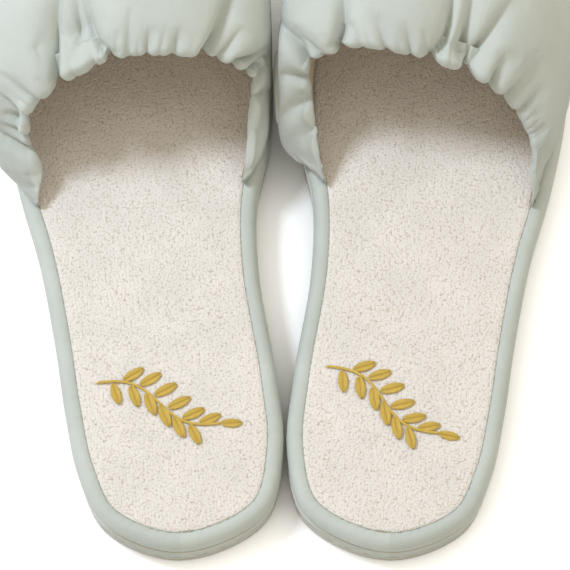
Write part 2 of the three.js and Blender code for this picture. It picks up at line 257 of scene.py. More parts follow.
@dataclass(frozen=True)
class Place:
    """Where a slipper stands in the row frame, taken from its flex joint.

    Attributes:
        side: which slipper.
        hinge: the joint's point, in metres.
        lateral: direction of the slipper's +x.
        forward: direction of its +y.
        flex_line: y of the joint in the slipper's own frame.
    """

    side: Side
    hinge: np.ndarray
    lateral: np.ndarray
    forward: np.ndarray
    flex_line: float = 121.0

    @staticmethod
    def of(side: Side) -> "Place":
        """Reads one slipper's place from the frame's joints."""
        joint = next(j for j in frame["joints"] if j["name"] == f"{side.value}_sole_flex")
        sign = 1.0 if side is Side.LEFT else -1.0
        lateral = sign * np.array(joint["axis"], float)
        lateral /= np.linalg.norm(lateral)
        forward = np.array([lateral[1], -lateral[0], 0.0]) * sign
        return Place(side, np.array(joint["pos_m"], float), lateral, forward)

    def world(self, points: np.ndarray) -> np.ndarray:
        """Turns points in the slipper's frame into the row frame.

        Args:
            points: an array of (x, y, z), in millimetres.

        Returns:
            The same points, in metres.
        """
        points = np.asarray(points, float)
        flat = self.hinge * np.array([1.0, 1.0, 0.0])
        along = (points[..., 1:2] - self.flex_line) * self.forward
        across = points[..., 0:1] * self.lateral
        return flat + (along + across + points[..., 2:3] * np.array([0.0, 0.0, 1.0])) * MM

    @property
    def forefoot(self) -> str:
        """Name of the body that carries the upper."""
        return f"{self.side.value}_forefoot"

    @property
    def heel(self) -> str:
        """Name of the body that carries the heel."""
        return f"{self.side.value}_heel"


@dataclass
class Cloud:
    """Points and faces of a mesh that is still being put together, in a slipper's own frame."""

    points: list = field(default_factory=list)
    faces: list = field(default_factory=list)
    uvs: list = field(default_factory=list)
    count: int = 0
    wrap: float = 0.0

    def add(self, points: np.ndarray, faces: np.ndarray, uv: np.ndarray | None = None) -> None:
        """Adds a patch.

        Args:
            points: its points.
            faces: quads or triangles, as point numbers in the patch.
            uv: a flat place for each point, in millimetres.
        """
        points = np.asarray(points, float).reshape(-1, 3)
        self.points.append(points)
        self.faces.extend((np.asarray(faces) + self.count).tolist())
        self.uvs.append(points[:, :2] if uv is None else np.asarray(uv, float).reshape(-1, 2))
        self.count += len(points)

    def build(self, name: str, place: Place, mirror: bool = True) -> bpy.types.Object:
        """Makes the mesh object in the row frame.

        Args:
            name: the object's name.
            place: the slipper that it belongs to.
            mirror: whether the left one is the right one's mirror image.

        Returns:
            The object, smooth shaded, with a UV map in metres.
        """
        points = np.concatenate(self.points)
        flipped = place.side is Side.LEFT
        if flipped and not mirror:
            points = points * np.array([-1.0, 1.0, 1.0])
            flipped = False
        faces = [face[::-1] for face in self.faces] if flipped else self.faces
        mesh = bpy.data.meshes.new(name)
        mesh.from_pydata(place.world(points).tolist(), [], faces)
        layer = mesh.uv_layers.new(name="cloth")
        loops = np.zeros(len(mesh.loops), np.int32)
        mesh.loops.foreach_get("vertex_index", loops)
        flat = np.concatenate(self.uvs)[loops]
        if self.wrap:
            starts = np.zeros(len(mesh.polygons), np.int32)
            mesh.polygons.foreach_get("loop_start", starts)
            sizes = np.diff(np.append(starts, len(loops)))
            highest = np.repeat(np.maximum.reduceat(flat[:, 0], starts), sizes)
            flat[:, 0] += np.where(highest - flat[:, 0] > self.wrap / 2, self.wrap, 0.0)
        layer.data.foreach_set("uv", (flat * MM).astype(np.float32).ravel())
        mesh.polygons.foreach_set("use_smooth", np.ones(len(mesh.polygons), bool))
        mesh.update()
        obj = bpy.data.objects.new(name, mesh)
        bpy.context.scene.collection.objects.link(obj)
        return obj


def grid_faces(rows: int, columns: int, wrap_rows: bool = False, wrap_columns: bool = False) -> np.ndarray:
    """Quads between the points of a grid stored row by row.

    Args:
        rows: how many rows of points.
        columns: how many points in a row.
        wrap_rows: whether the last row joins the first.
        wrap_columns: whether each row is a closed ring.

    Returns:
        An array of quads.
    """
    i, j = np.meshgrid(
        np.arange(rows if wrap_rows else rows - 1),
        np.arange(columns if wrap_columns else columns - 1),
        indexing="ij",
    )
    down, right = (i + 1) % rows, (j + 1) % columns
    quads = np.stack([i * columns + j, i * columns + right, down * columns + right, down * columns + j], -1)
    return quads.reshape(-1, 4)


def band(profile: Sequence[tuple[float, float]], steps: int, ripple: Callable | None = None) -> Cloud:
    """A closed band round the whole sole.

    Args:
        profile: its cross-section as (inset, height), clockwise with the sole's inside to the right.
        steps: how many times it is divided round the sole.
        ripple: maps (shares, point number) to (extra inset, extra height).

    Returns:
        The band's mesh.
    """
    share = np.arange(steps) / steps
    rings, uvs = [], []
    travelled = 0.0
    for number, (inset, height) in enumerate(profile):
        more_in, more_up = ripple(share, number) if ripple else (0.0, 0.0)
        flat = OUTLINE.at(share, inset + more_in + np.zeros(steps))
        rings.append(np.column_stack([flat, height + more_up + np.zeros(steps)]))
        if number:
            travelled += math.dist(profile[number - 1], profile[number])
        uvs.append(np.column_stack([share * OUTLINE.perimeter, np.full(steps, travelled)]))
    cloud = Cloud(wrap=OUTLINE.perimeter)
    columns = len(profile)
    points = np.stack(rings, axis=1)
    cloud.add(points, grid_faces(steps, columns, True, True)[:, ::-1], np.stack(uvs, axis=1))
    return cloud


def slab(inset: float, low: float, high: float, rows: int, columns: int, edge: float = 0.0,
         relief: Callable | None = None) -> Cloud:
    """A full layer of the sole, divided so that it can bend.

    Args:
        inset: how far its side lies inside the sole's side.
        low: height of its underside.
        high: height of its top.
        rows: divisions along the sole.
        columns: divisions across it.
        edge: radius of its top edge.
        relief: maps (x, y, distance from the side) to extra height of the top. The layer is then evenly
            divided, and open underneath.

    Returns:
        The layer's closed mesh.
    """
    share = (1.0 - np.cos(np.pi * (np.arange(rows + 1) + 0.35) / (rows + 0.7))) / 2.0
    if relief:
        share = (np.arange(rows + 1) + 0.25) / (rows + 0.5)
    start = OUTLINE.at(np.array([0.0]), inset)[0, 1]
    end = OUTLINE.at(np.array([OUTLINE.toe]), inset)[0, 1]
    y = start + (end - start) * share
    medial, lateral = OUTLINE.span(y, inset)
    across = np.arange(columns + 1) / columns
    if not relief:
        across = (1.0 - np.cos(np.pi * across)) / 2.0
    x = medial[:, None] + (lateral - medial)[:, None] * across
    near = np.minimum(x - medial[:, None], lateral[:, None] - x)
    near = np.minimum(near, np.minimum(y - start, end - y)[:, None])
    drop = edge - np.sqrt(np.clip(edge**2 - np.clip(edge - near, 0, edge) ** 2, 0, None)) if edge else 0.0
    rough = relief(x, y[:, None] + 0 * x, near) if relief else 0.0
    top = np.stack([x, y[:, None] + 0 * x, high - drop + rough + 0 * x], axis=-1)
    bottom = np.stack([x, y[:, None] + 0 * x, low + 0 * x], axis=-1)
    size = (rows + 1) * (columns + 1)
    number = np.arange(size).reshape(rows + 1, columns + 1)
    rim = np.concatenate([number[0], number[1:, -1], number[-1, -2::-1], number[-2:0:-1, 0]])
    after = np.roll(rim, -1)
    faces = grid_faces(rows + 1, columns + 1)
    cloud = Cloud()
    if relief:
        hem = np.arange(len(rim)) + size
        sides = np.stack([hem, np.roll(hem, -1), after, rim], axis=-1)
        cloud.add(np.concatenate([top.reshape(-1, 3), bottom.reshape(-1, 3)[rim]]),
                  np.concatenate([faces, sides]))
        return cloud
    sides = np.stack([rim + size, after + size, after, rim], axis=-1)
    cloud.add(np.concatenate([top.reshape(-1, 3), bottom.reshape(-1, 3)]),
              np.concatenate([faces, faces[:, ::-1] + size, sides]))
    return cloud


def capsules(centres: np.ndarray, axes: np.ndarray, ups: np.ndarray, length: float | np.ndarray,
             width: float, height: float, sides: int = 6) -> Cloud:
    """Short rounded threads.

    Args:
        centres: the middle of each.
        axes: unit direction of each.
        ups: unit direction in which each is `height` thick.
        length: length of each, or of all.
        width: thickness square to axis and up.
        height: thickness along up.
        sides: how many sides each has.

    Returns:
        One mesh of separate closed threads.
    """
    stations = np.array([-0.5, -0.42, -0.2, 0.2, 0.42, 0.5])
    swell = np.array([0.12, 0.7, 1.0, 1.0, 0.7, 0.12])
    angle = 2 * np.pi * np.arange(sides) / sides
    sideways = np.cross(ups, axes)
    length = np.broadcast_to(np.asarray(length, float), (len(centres),))
    cloud = Cloud()
    ring_faces = grid_faces(len(stations), sides, wrap_columns=True)
    cap = np.arange(1, sides - 1)
    first = np.stack([0 * cap, cap, cap + 1], axis=-1)
    last = first[:, ::-1] + (len(stations) - 1) * sides
    points = (
        centres[:, None, None]
        + axes[:, None, None] * (stations[:, None] * length[:, None, None])[..., None]
        + sideways[:, None, None] * (swell[:, None] * np.cos(angle) * width / 2)[None, ..., None]
        + ups[:, None, None] * (swell[:, None] * np.sin(angle) * height / 2)[None, ..., None]
    )
    per = len(stations) * sides
    for thread in points.reshape(len(centres), per, 3):
        cloud.faces.extend((ring_faces[:, ::-1] + cloud.count).tolist())
        cloud.faces.extend((first + cloud.count).tolist())
        cloud.faces.extend((last + cloud.count).tolist())
        cloud.points.append(thread)
        cloud.uvs.append(np.column_stack([np.repeat(stations * 2, sides), np.tile(angle, len(stations))]))
        cloud.count += per
    return cloud


# --------------------------------------------------------------------------------------------------
# Upper
# --------------------------------------------------------------------------------------------------


@dataclass(frozen=True)
class Crease:
    """A fold that runs from the throat's edge out over the upper.

    Attributes:
        around: where it leaves the throat, 0 at the lateral wing end to 1 at the medial one.
        depth: how much of the puffs' height it takes away; over 1 it cuts in below them.
        width: how fast the puffs rise again beside it, in millimetres.
        reach: how far from the throat it dies out, in millimetres.
        swerve: how far round it turns close to the throat.
        drift: how far round it goes on drifting over the next 60 mm.
        lean: how much wider its medial slope is than its lateral one, as a share.
        spread: how far from the throat it has become twice as wide, in millimetres.
        starts: how far from the throat it is fully formed, in millimetres.
    """

    around: float
    depth: float
    width: float
    reach: float
    swerve: float = 0.0
    drift: float = 0.0
    lean: float = 0.0
    spread: float = 14.0
    starts: float = 0.0


CREASES = {
    Side.LEFT: (
        Crease(0.03, 0.5, 1.6, 14),
        Crease(0.105, 1.45, 1.5, 26, 0.0, 0.05, spread=30),
        Crease(0.135, 0.9, 1.2, 9),
        Crease(0.162, 1.5, 2.0, 9, 0.0, starts=2),
        Crease(0.182, 1.1, 1.2, 13, 0.01),
        Crease(0.245, 0.5, 2.0, 12, -0.01),
        Crease(0.325, 1.7, 1.6, 95, 0.015, 0.137, lean=-0.3, spread=60),
        Crease(0.4, 2.6, 4.6, 90, 0.0, 0.07, spread=150, starts=12),
        Crease(0.435, 0.5, 1.4, 12, -0.01),
        Crease(0.475, 1.5, 1.5, 80, -0.045, 0.03, lean=0.35, spread=50),
        Crease(0.53, 0.4, 2.6, 22),
        Crease(0.575, 0.5, 1.4, 7),
        Crease(0.64, 0.4, 1.4, 7),
        Crease(0.705, 1.45, 1.6, 70, 0.012, -0.02, lean=0.4, spread=40),
        Crease(0.745, 0.7, 1.4, 12, 0.01),
        Crease(0.79, 1.1, 1.4, 16, 0.05, spread=30),
        Crease(0.835, 1.4, 1.4, 20, 0.02),
        Crease(0.87, 1.3, 1.3, 15, -0.01),
        Crease(0.9, 1.2, 1.3, 14),
        Crease(0.945, 0.6, 1.6, 12),
    ),
    Side.RIGHT: (
        Crease(0.07, 0.5, 1.8, 10),
        Crease(0.17, 0.45, 1.8, 10),
        Crease(0.255, 0.6, 1.6, 10),
        Crease(0.315, 0.9, 1.6, 14, -0.01),
        Crease(0.375, 0.9, 1.5, 12),
        Crease(0.447, 2.0, 1.8, 34, -0.012, -0.085, spread=35),
        Crease(0.475, 2.0, 3.0, 90, -0.012, spread=150, starts=5),
        Crease(0.54, 1.5, 1.5, 85, -0.042, 0.0, lean=0.5, spread=60),
        Crease(0.6, 0.4, 1.4, 7),
        Crease(0.67, 0.5, 1.6, 10),
        Crease(0.73, 0.45, 1.6, 8),
        Crease(0.787, 1.55, 1.6, 80, -0.03, -0.14, lean=-0.4, spread=50),
        Crease(0.83, 0.7, 1.4, 14),
        Crease(0.865, 1.5, 1.5, 50, -0.015, -0.05, spread=35),
        Crease(0.9, 1.2, 1.3, 12),
        Crease(0.93, 1.3, 1.3, 16, 0.01),
        Crease(0.962, 1.1, 1.3, 12),
    ),
}

# How much of the puffs' height the lateral wing lacks, and how far the (lateral, medial) wings belly out.
CALM = {Side.LEFT: 0.0, Side.RIGHT: 0.6}
BULGES = {Side.LEFT: (7.5, 3.8), Side.RIGHT: (-0.8, 13.5)}

# The throat's edge: share of the way round it, then x, y and height in the right slipper's own frame.
THROATS = {
    Side.LEFT: (
        (0.0, 39.0, 129.0, 18.5),
        (0.07, 36.5, 139.0, 26.0),
        (0.13, 37.5, 146.0, 34.0),
        (0.2, 36.0, 151.0, 44.0),
        (0.28, 29.0, 153.5, 51.0),
        (0.37, 20.0, 156.0, 56.5),
        (0.47, 8.5, 157.5, 60.5),
        (0.55, -1.0, 158.0, 62.0),
        (0.64, -12.0, 157.5, 62.0),
        (0.72, -23.0, 157.0, 58.5),
        (0.8, -32.0, 156.5, 51.0),
        (0.87, -37.5, 154.0, 42.0),
        (0.93, -37.0, 146.0, 30.0),
        (1.0, -33.0, 129.0, 18.5),
    ),
    Side.RIGHT: (
        (0.0, 39.0, 129.0, 18.5),
        (0.07, 37.0, 138.0, 22.5),
        (0.14, 34.5, 146.0, 27.0),
        (0.21, 31.0, 152.0, 32.5),
        (0.28, 26.0, 155.0, 39.0),
        (0.35, 20.0, 156.0, 46.5),
        (0.42, 13.0, 156.5, 53.0),
        (0.5, 4.0, 157.0, 57.5),
        (0.58, -6.0, 157.5, 61.0),
        (0.66, -15.0, 158.5, 62.0),
        (0.74, -25.0, 158.5, 61.0),
        (0.82, -34.5, 157.5, 57.0),
        (0.88, -41.0, 155.5, 49.0),
        (0.94, -40.0, 147.0, 35.5),
        (1.0, -34.0, 129.0, 18.5),
    ),
}


def smooth_through(knots: np.ndarray, at: np.ndarray) -> np.ndarray:
    """A smooth curve through knots.

    Args:
        knots: rows of (parameter, values...).
        at: the parameters to read it at.

    Returns:
        The values, one row for each parameter.
    """
    t, values = knots[:, 0], knots[:, 1:]
    slope = np.gradient(values, t, axis=0)
    k = np.clip(np.searchsorted(t, at, side="right") - 1, 0, len(t) - 2)
    step = (t[k + 1] - t[k])[:, None]
    s = ((at - t[k]) / (t[k + 1] - t[k]))[:, None]
    return ((2 * s**3 - 3 * s**2 + 1) * values[k] + (s**3 - 2 * s**2 + s) * step * slope[k]
            + (3 * s**2 - 2 * s**3) * values[k + 1] + (s**3 - s**2) * step * slope[k + 1])


@dataclass
class Upper:
    """The gathered satin upper of one slipper, its lining, padding, elastic and seam thread.

    A rib runs from the sole seam (rise 0) to the throat's edge (rise 1); the ribs stand side by side
    from the lateral wing end (around 0), over the toe, to the medial wing end (around 1).
    """

    place: Place
    inset: float = 4.4
    wing_y: float = 129.0
    seam_rise: float = 0.42
    seam_bulge: float = 0.1
    throat_puff: float = 0.22
    wing_fullness: float = 2.6
    seam_height: float = STACK.terry[1] + STACK.fit
    throat_length: float = 132.0
    ribs: int = 280
    rows: int = 60
    roll_rows: int = 9
    casing_rows: int = 4
    casing: float = 6.5
    roll_inside: float = 2.2
    roll_length: float = 0.85
    puff_low: float = 1.9
    puff_high: float = 4.6
    puff_fade: float = 24.0
    inflate: float = 2.2
    slack: float = 0.02
    setback: float = 3.8
    layer_gap: float = 0.3
    under_satin: float = 1.9
    padding: tuple[float, float] = (0.8, 2.0)
    wadding_rise: tuple[float, float] = (0.05, 0.9)
    lining: float = 0.6
    lining_rise: tuple[float, float] = (0.0, 0.965)
    lining_tuck: float = 0.7
    elastic: tuple[float, float] = (1.75, 2.25)
    elastic_rise: tuple[float, float] = (0.94, 0.985)
    stitch_pitch: float = 3.2
    stitch_length: float = 2.1
    seed: int = 11
    satin: float = 0.45
    satin_cut: tuple[float, float, float] = (0.335, 0.085, 0.0235)
    lining_cut: tuple[float, float, float] = (0.27, 0.075, 0.0155)

    def foot_share(self, around: np.ndarray) -> np.ndarray:
        """Shares of the sole outline at which ribs stand."""
        start = OUTLINE.crossing(Half.LATERAL, self.wing_y, self.inset)
        end = OUTLINE.crossing(Half.MEDIAL, self.wing_y, self.inset)
        return start + (end - start) * np.asarray(around)

    def throat(self, around: np.ndarray) -> np.ndarray:
        """Points of the throat's edge."""
        return smooth_through(np.array(THROATS[self.place.side]), np.asarray(around, float))

    def inwards(self, around: np.ndarray) -> np.ndarray:
        """Directions from the throat's edge back over the upper, level with the floor."""
        angle = np.pi * np.asarray(around)
        back = np.column_stack([np.cos(angle), 0.25 + np.sin(angle), 0.0 * angle])
        return back / np.linalg.norm(back, axis=1)[:, None]

    def surface(self, around: np.ndarray, rise: np.ndarray) -> np.ndarray:
        """The plain stuffed upper, before it is gathered.

        Args:
            around: one value for each rib.
            rise: one value for each row.

        Returns:
            Points, ribs by rows by 3.
        """
        share = self.foot_share(around)
        foot = np.column_stack([OUTLINE.at(share, self.inset), np.full(len(around), self.seam_height)])
        throat = self.throat(around)
        reach = np.linalg.norm(throat - foot, axis=1)[:, None]
        angle = np.pi * around
        throat = throat + self.inwards(around) * self.setback * np.clip(np.sin(angle) * 2.5, 0, 1)[:, None]
        straight = (throat - foot) / 3
        fullness = np.minimum(np.sin(angle) * self.wing_fullness, 1.0)[:, None]
        level = OUTLINE.outward(share)
        rising = np.column_stack([level * self.seam_bulge, np.full(len(around), self.seam_rise)]) * reach
        puff = np.column_stack([np.cos(angle), np.ones(len(around)), np.sin(angle)])
        puff = puff * self.throat_puff * reach
        first = foot + straight * (1 - fullness) + rising * fullness
        second = throat - straight * (1 - fullness) + puff * fullness
        t = np.asarray(rise)[None, :, None]
        curve = [p[:, None, :] for p in (foot, first, second, throat)]
        points = (curve[0] * (1 - t) ** 3 + 3 * curve[1] * (1 - t) ** 2 * t
                  + 3 * curve[2] * (1 - t) * t**2 + curve[3] * t**3)
        flank = np.clip(np.sin(angle) * 5, 0, 1) * np.exp(-(np.minimum(around, 1 - around) / 0.28) ** 2)
        lateral, medial = BULGES[self.place.side]
        bulge = lateral + (medial - lateral) * np.clip(around, 0, 1)
        belly = (bulge * flank)[:, None] * np.sin(np.pi * np.asarray(rise)[None, :] ** 0.8)
        out = np.column_stack([level, np.zeros(len(around))])
        return points + out[:, None, :] * belly[..., None]

    def frames(self, around: np.ndarray, rise: np.ndarray) -> tuple[np.ndarray, np.ndarray, np.ndarray]:
        """Points, outward normals and directions up the rib of the plain upper.

        Args:
            around: one value for each rib.
            rise: one value for each row.

        Returns:
            Three arrays, ribs by rows by 3.
        """
        points = self.surface(around, rise)
        step = 2e-3
        back = self.surface(np.clip(around - step, 0, 1), rise)
        ahead = self.surface(np.clip(around + step, 0, 1), rise)
        low = self.surface(around, np.clip(rise - step, 0, 1))
        high = self.surface(around, np.clip(rise + step, 0, 1))
        normal = np.cross(ahead - back, high - low)
        normal /= np.linalg.norm(normal, axis=-1)[..., None]
        level = np.column_stack([OUTLINE.outward(self.foot_share(around)), np.zeros(len(around))])
        steady = np.minimum(np.sin(np.pi * around) * self.wing_fullness, 1.0)[:, None, None]
        normal = normal * steady + level[:, None, :] * (1 - steady)
        normal /= np.linalg.norm(normal, axis=-1)[..., None]
        up = high - low
        up /= np.linalg.norm(up, axis=-1)[..., None]
        return points, normal, up

    def gathers(self) -> list[Crease]:
        """The side's own creases and small even gathers between them."""
        draw = np.random.default_rng(self.seed + (self.place.side is Side.LEFT))
        found = list(CREASES[self.place.side])
        at = 0.02
        while at < 0.98:
            found.append(Crease(at, draw.uniform(0.06, 0.2), draw.uniform(0.7, 1.3), draw.uniform(4, 9),
                                draw.uniform(-0.008, 0.008)))
            at += draw.uniform(0.025, 0.05)
        return found

    def standing(self, around: np.ndarray, rise: np.ndarray) -> np.ndarray:
        """How far the gathered cloth stands out of the plain upper, in millimetres.

        Args:
            around: one value for each rib.
            rise: one value for each row.

        Returns:
            Heights, ribs by rows; negative where a crease cuts in.
        """
        points = self.surface(around, np.array([0.0, 0.25, 0.5, 0.75, 1.0]))
        length = np.linalg.norm(np.diff(points, axis=1), axis=-1).sum(axis=1)[:, None]
        away = (1.0 - np.asarray(rise)[None, :]) * length
        puff = self.puff_low + self.puff_high * np.exp(-away / self.puff_fade)
        puff = puff * np.clip(length / 42.0, 0.3, 1)
        puff = puff * (1 - CALM[self.place.side] * np.exp(-(np.asarray(around) / 0.22) ** 2))[:, None]
        taken = np.zeros_like(away)
        for crease in self.gathers():
            centre = (crease.around + crease.swerve * (1 - np.exp(-away / 5.0)) + crease.drift * away / 60.0)
            off = (around[:, None] - centre) * self.throat_length * (1 + 0.35 * away / 60.0)
            wide = crease.width * (1 + away / crease.spread) * (1 + crease.lean * np.sign(off))
            strong = np.clip(1 - away / crease.reach, 0, 1) ** 0.7
            if crease.starts:
                strong = strong * np.clip(away / crease.starts, 0, 1)
            taken += crease.depth * strong * np.exp(-np.abs(off) / wide)
        seam = np.clip(np.asarray(rise) * 7, 0, 1)[None, :]
        ends = np.clip(np.minimum(around, 1 - around) * 40, 0, 1)[:, None]
        deepest = 1.7 + 1.3 * np.clip((away - 5.0) / 8.0, 0, 1)
        return puff * (1 - np.minimum(taken, deepest)) * seam * ends

    def satin_cloud(self) -> tuple[Cloud, np.ndarray]:
        """The satin panel before it settles.

        Returns:
            The panel from the sole seam over the throat's edge to the end of its casing, and how firmly
            each point is held.
        """
        around = np.linspace(0.0, 1.0, self.ribs + 1)
        rise = np.linspace(0.0, 1.0, self.rows + 1) ** 0.85
        points, normal, up = self.frames(around, rise)
        lift = self.standing(around, rise)
        panel = points + normal * lift[..., None]
        edge, out, past = points[:, -1], normal[:, -1], up[:, -1]
        small = np.clip(np.minimum(around, 1 - around) * 14, 0.25, 1)[:, None]
        proud = lift[:, -1:]
        radius = np.maximum((proud + self.roll_inside * small) / 2, 0.45)
        centre = edge + out * (proud - radius)
        rows = []
        for turn in np.linspace(0, np.pi, self.roll_rows + 1)[1:]:
            over = out * math.cos(turn) + past * math.sin(turn) * self.roll_length
            rows.append(centre + over * radius)
        inner = rows[-1]
        for share in np.linspace(0, 1, self.casing_rows + 1)[1:]:
            rows.append(inner - past * self.casing * share * small)
        grid = np.concatenate([panel, np.stack(rows, axis=1)], axis=1)
        columns = grid.shape[1]
        held = np.zeros(grid.shape[:2])
        held[:, 0] = 1.0
        held[:, self.rows + self.roll_rows - 1:] = 1.0
        held[[0, -1], :] = 1.0
        steps = np.linalg.norm(np.diff(grid[len(grid) // 2], axis=0), axis=1)
        length = np.concatenate([[0.0], np.cumsum(steps)])
        uv = np.stack(np.broadcast_arrays(around[:, None] * 300.0, length[None, :]), axis=-1)
        cloud = Cloud()
        cloud.add(grid, grid_faces(len(around), columns)[:, ::-1], uv)
        return cloud, held.ravel()

    def layer_cloud(self, outer: Callable, inner: Callable, rise: tuple[float, float],
                    ribs: int, rows: int, sunk: float = 0.0) -> Cloud:
        """A closed shell under the satin.

        Args:
            outer: maps rises to the depth of its outer face under the plain upper.
            inner: the same for its inner face.
            rise: where it starts and ends.
            ribs: divisions round the throat.
            rows: divisions up the rib.
            sunk: how far its foot reaches down into the insole.

        Returns:
            The shell's mesh.
        """
        around = np.linspace(0.004, 0.996, ribs + 1)
        rises = np.linspace(*rise, rows + 1)
        points, normal, _ = self.frames(around, rises)
        points[..., 2] -= sunk * (1 - np.clip(rises / 0.05, 0, 1))[None, :]
        pressed = np.minimum(self.standing(around, rises), 0.0)
        pressed = np.minimum.reduce([np.roll(pressed, step, axis=0) for step in range(-2, 3)])
        thin = np.clip(np.minimum(around, 1 - around) * 6, 0.3, 1)[:, None]
        faces = []
        for depth in (outer, inner):
            faces.append(points + normal * (pressed - depth(rises)[None, :] * thin)[..., None])
        shell = np.concatenate([faces[0], faces[1][:, ::-1]], axis=1)
        cloud = Cloud()
        columns = shell.shape[1]
        steps = np.linalg.norm(np.diff(shell[len(shell) // 2], axis=0), axis=1)
        length = np.concatenate([[0.0], np.cumsum(steps)])
        uv = np.stack(np.broadcast_arrays(around[:, None] * 300.0, length[None, :]), axis=-1)
        cloud.add(shell, grid_faces(ribs + 1, columns, wrap_columns=True)[:, ::-1], uv)
        ring = np.arange(columns)
        half = columns // 2
        for row, step in ((0, 1), (ribs, -1)):
            start = row * columns
            strip = [[start + ring[k], start + ring[k + 1], start + ring[columns - 2 - k],
                      start + ring[columns - 1 - k]][::step] for k in range(half - 1)]
            cloud.faces.extend(strip)
        return cloud

    def pad_depth(self, rise: np.ndarray) -> np.ndarray:
        """Depth of the padding's inner face under the plain upper."""
        low, high = self.padding
        return self.outer_depth(rise) + low + (high - low) * np.sin(np.pi * np.clip(rise, 0, 1))

    def outer_depth(self, rise: np.ndarray) -> np.ndarray:
        """Depth of the padding's outer face under the plain upper."""
        return np.full_like(rise, self.under_satin)

    def build_satin(self) -> bpy.types.Object:
        """Makes the gathered satin and lets it settle as cloth."""
        cloud, held = self.satin_cloud()
        obj = cloud.build(f"{self.place.side.value}_satin_upper", self.place)
        settle(obj, held, self.inflate, self.slack)
        keep_apart(obj, self.place)
        smooth = obj.modifiers.new("finer", "SUBSURF")
        smooth.levels = smooth.render_levels = 1
        thick = obj.modifiers.new("cloth", "SOLIDIFY")
        thick.thickness = self.satin * MM
        thick.offset = -1.0
        return obj

    def build(self, materials: "Wardrobe") -> list[bpy.types.Object]:
        """Makes the five pieces of the upper and sets them on the forefoot.

        Args:
            materials: the finishes.

        Returns:
            Satin, wadding, lining, elastic and seam.
        """
        made = [
            (self.build_satin(), Role.SATIN, "satin", "upper_outer"),
            (self.build_padding(), Role.WADDING, "padding", "upper_padding"),
            (self.build_lining(), Role.LINING, "lining", "upper_lining"),
            (self.build_elastic(), Role.ELASTIC, "elastic", "throat_elastic"),
            (self.build_seam(), Role.SEWING_THREAD, "thread", "upper_stitch"),
        ]
        for obj, role, slot, node in made:
            materials.put(obj, role)
            carry(obj, self.place, self.place.forefoot, slot, node)
        side = self.place.side.value
        LOG.info("%s upper set on its sole", side)
        return [obj for obj, *_ in made]

    def build_padding(self) -> bpy.types.Object:
        """Makes the wadding between satin and lining."""
        cloud = self.layer_cloud(self.outer_depth, self.pad_depth, self.wadding_rise, 150, 30)
        return cloud.build(f"{self.place.side.value}_upper_wadding", self.place)

    def build_lining(self) -> bpy.types.Object:
        """Makes the lining, from the sole seam to the casing."""
        gap, thick = self.layer_gap, self.lining
        cloud = self.layer_cloud(
            lambda rise: self.pad_depth(rise) + gap,
            lambda rise: self.pad_depth(rise) + gap + thick,
            self.lining_rise, 200, 44, self.lining_tuck,
        )
        return cloud.build(f"{self.place.side.value}_upper_lining_cloth", self.place)

    def build_elastic(self) -> bpy.types.Object:
        """Makes the elastic band inside the casing."""
        cloud = self.layer_cloud(
            lambda rise: np.full_like(rise, self.elastic[0]),
            lambda rise: np.full_like(rise, self.elastic[1]),
            self.elastic_rise, 150, 4,
        )
        return cloud.build(f"{self.place.side.value}_elastic_band", self.place)

    def build_seam(self) -> bpy.types.Object:
        """Makes the thread that sews the upper to the sole."""
        start, end = self.foot_share(np.array([0.01, 0.99]))
        count = int((end - start) * OUTLINE.perimeter / self.stitch_pitch)
        share = np.linspace(start, end, count)
        step = 0.3 / OUTLINE.perimeter
        centre = OUTLINE.at(share, self.inset - 0.5)
        along = OUTLINE.at(share + step, self.inset) - OUTLINE.at(share - step, self.inset)
        along /= np.linalg.norm(along, axis=1)[:, None]
        flat = np.zeros(count)
        cloud = capsules(
            np.column_stack([centre, flat + self.seam_height + 0.45]),
            np.column_stack([along, flat]),
            np.tile([0.0, 0.0, 1.0], (count, 1)), self.stitch_length, 0.55, 0.5,
        )
        return cloud.build(f"{self.place.side.value}_upper_seam", self.place)


SIM_SCALE = 8.0
CLOSEST = 0.0006
TOUCH_X = -0.0035


def keep_apart(obj: bpy.types.Object, place: Place) -> None:
    """Presses a mesh flat where it would reach the other slipper.

    Args:
        obj: the mesh.
        place: the slipper that it belongs to.
    """
    mesh = obj.data
    points = np.zeros(len(mesh.vertices) * 3, np.float32)
    mesh.vertices.foreach_get("co", points)
    points = points.reshape(-1, 3)
    sign = 1.0 if place.side is Side.LEFT else -1.0
    room = (TOUCH_X - points[:, 0]) * sign - CLOSEST
    soft = 0.004
    kept = np.where(room < soft, soft * np.exp((np.minimum(room, soft) - soft) / soft), room)
    points[:, 0] = TOUCH_X - (kept + CLOSEST) * sign
    mesh.vertices.foreach_set("co", points.ravel())
    mesh.update()


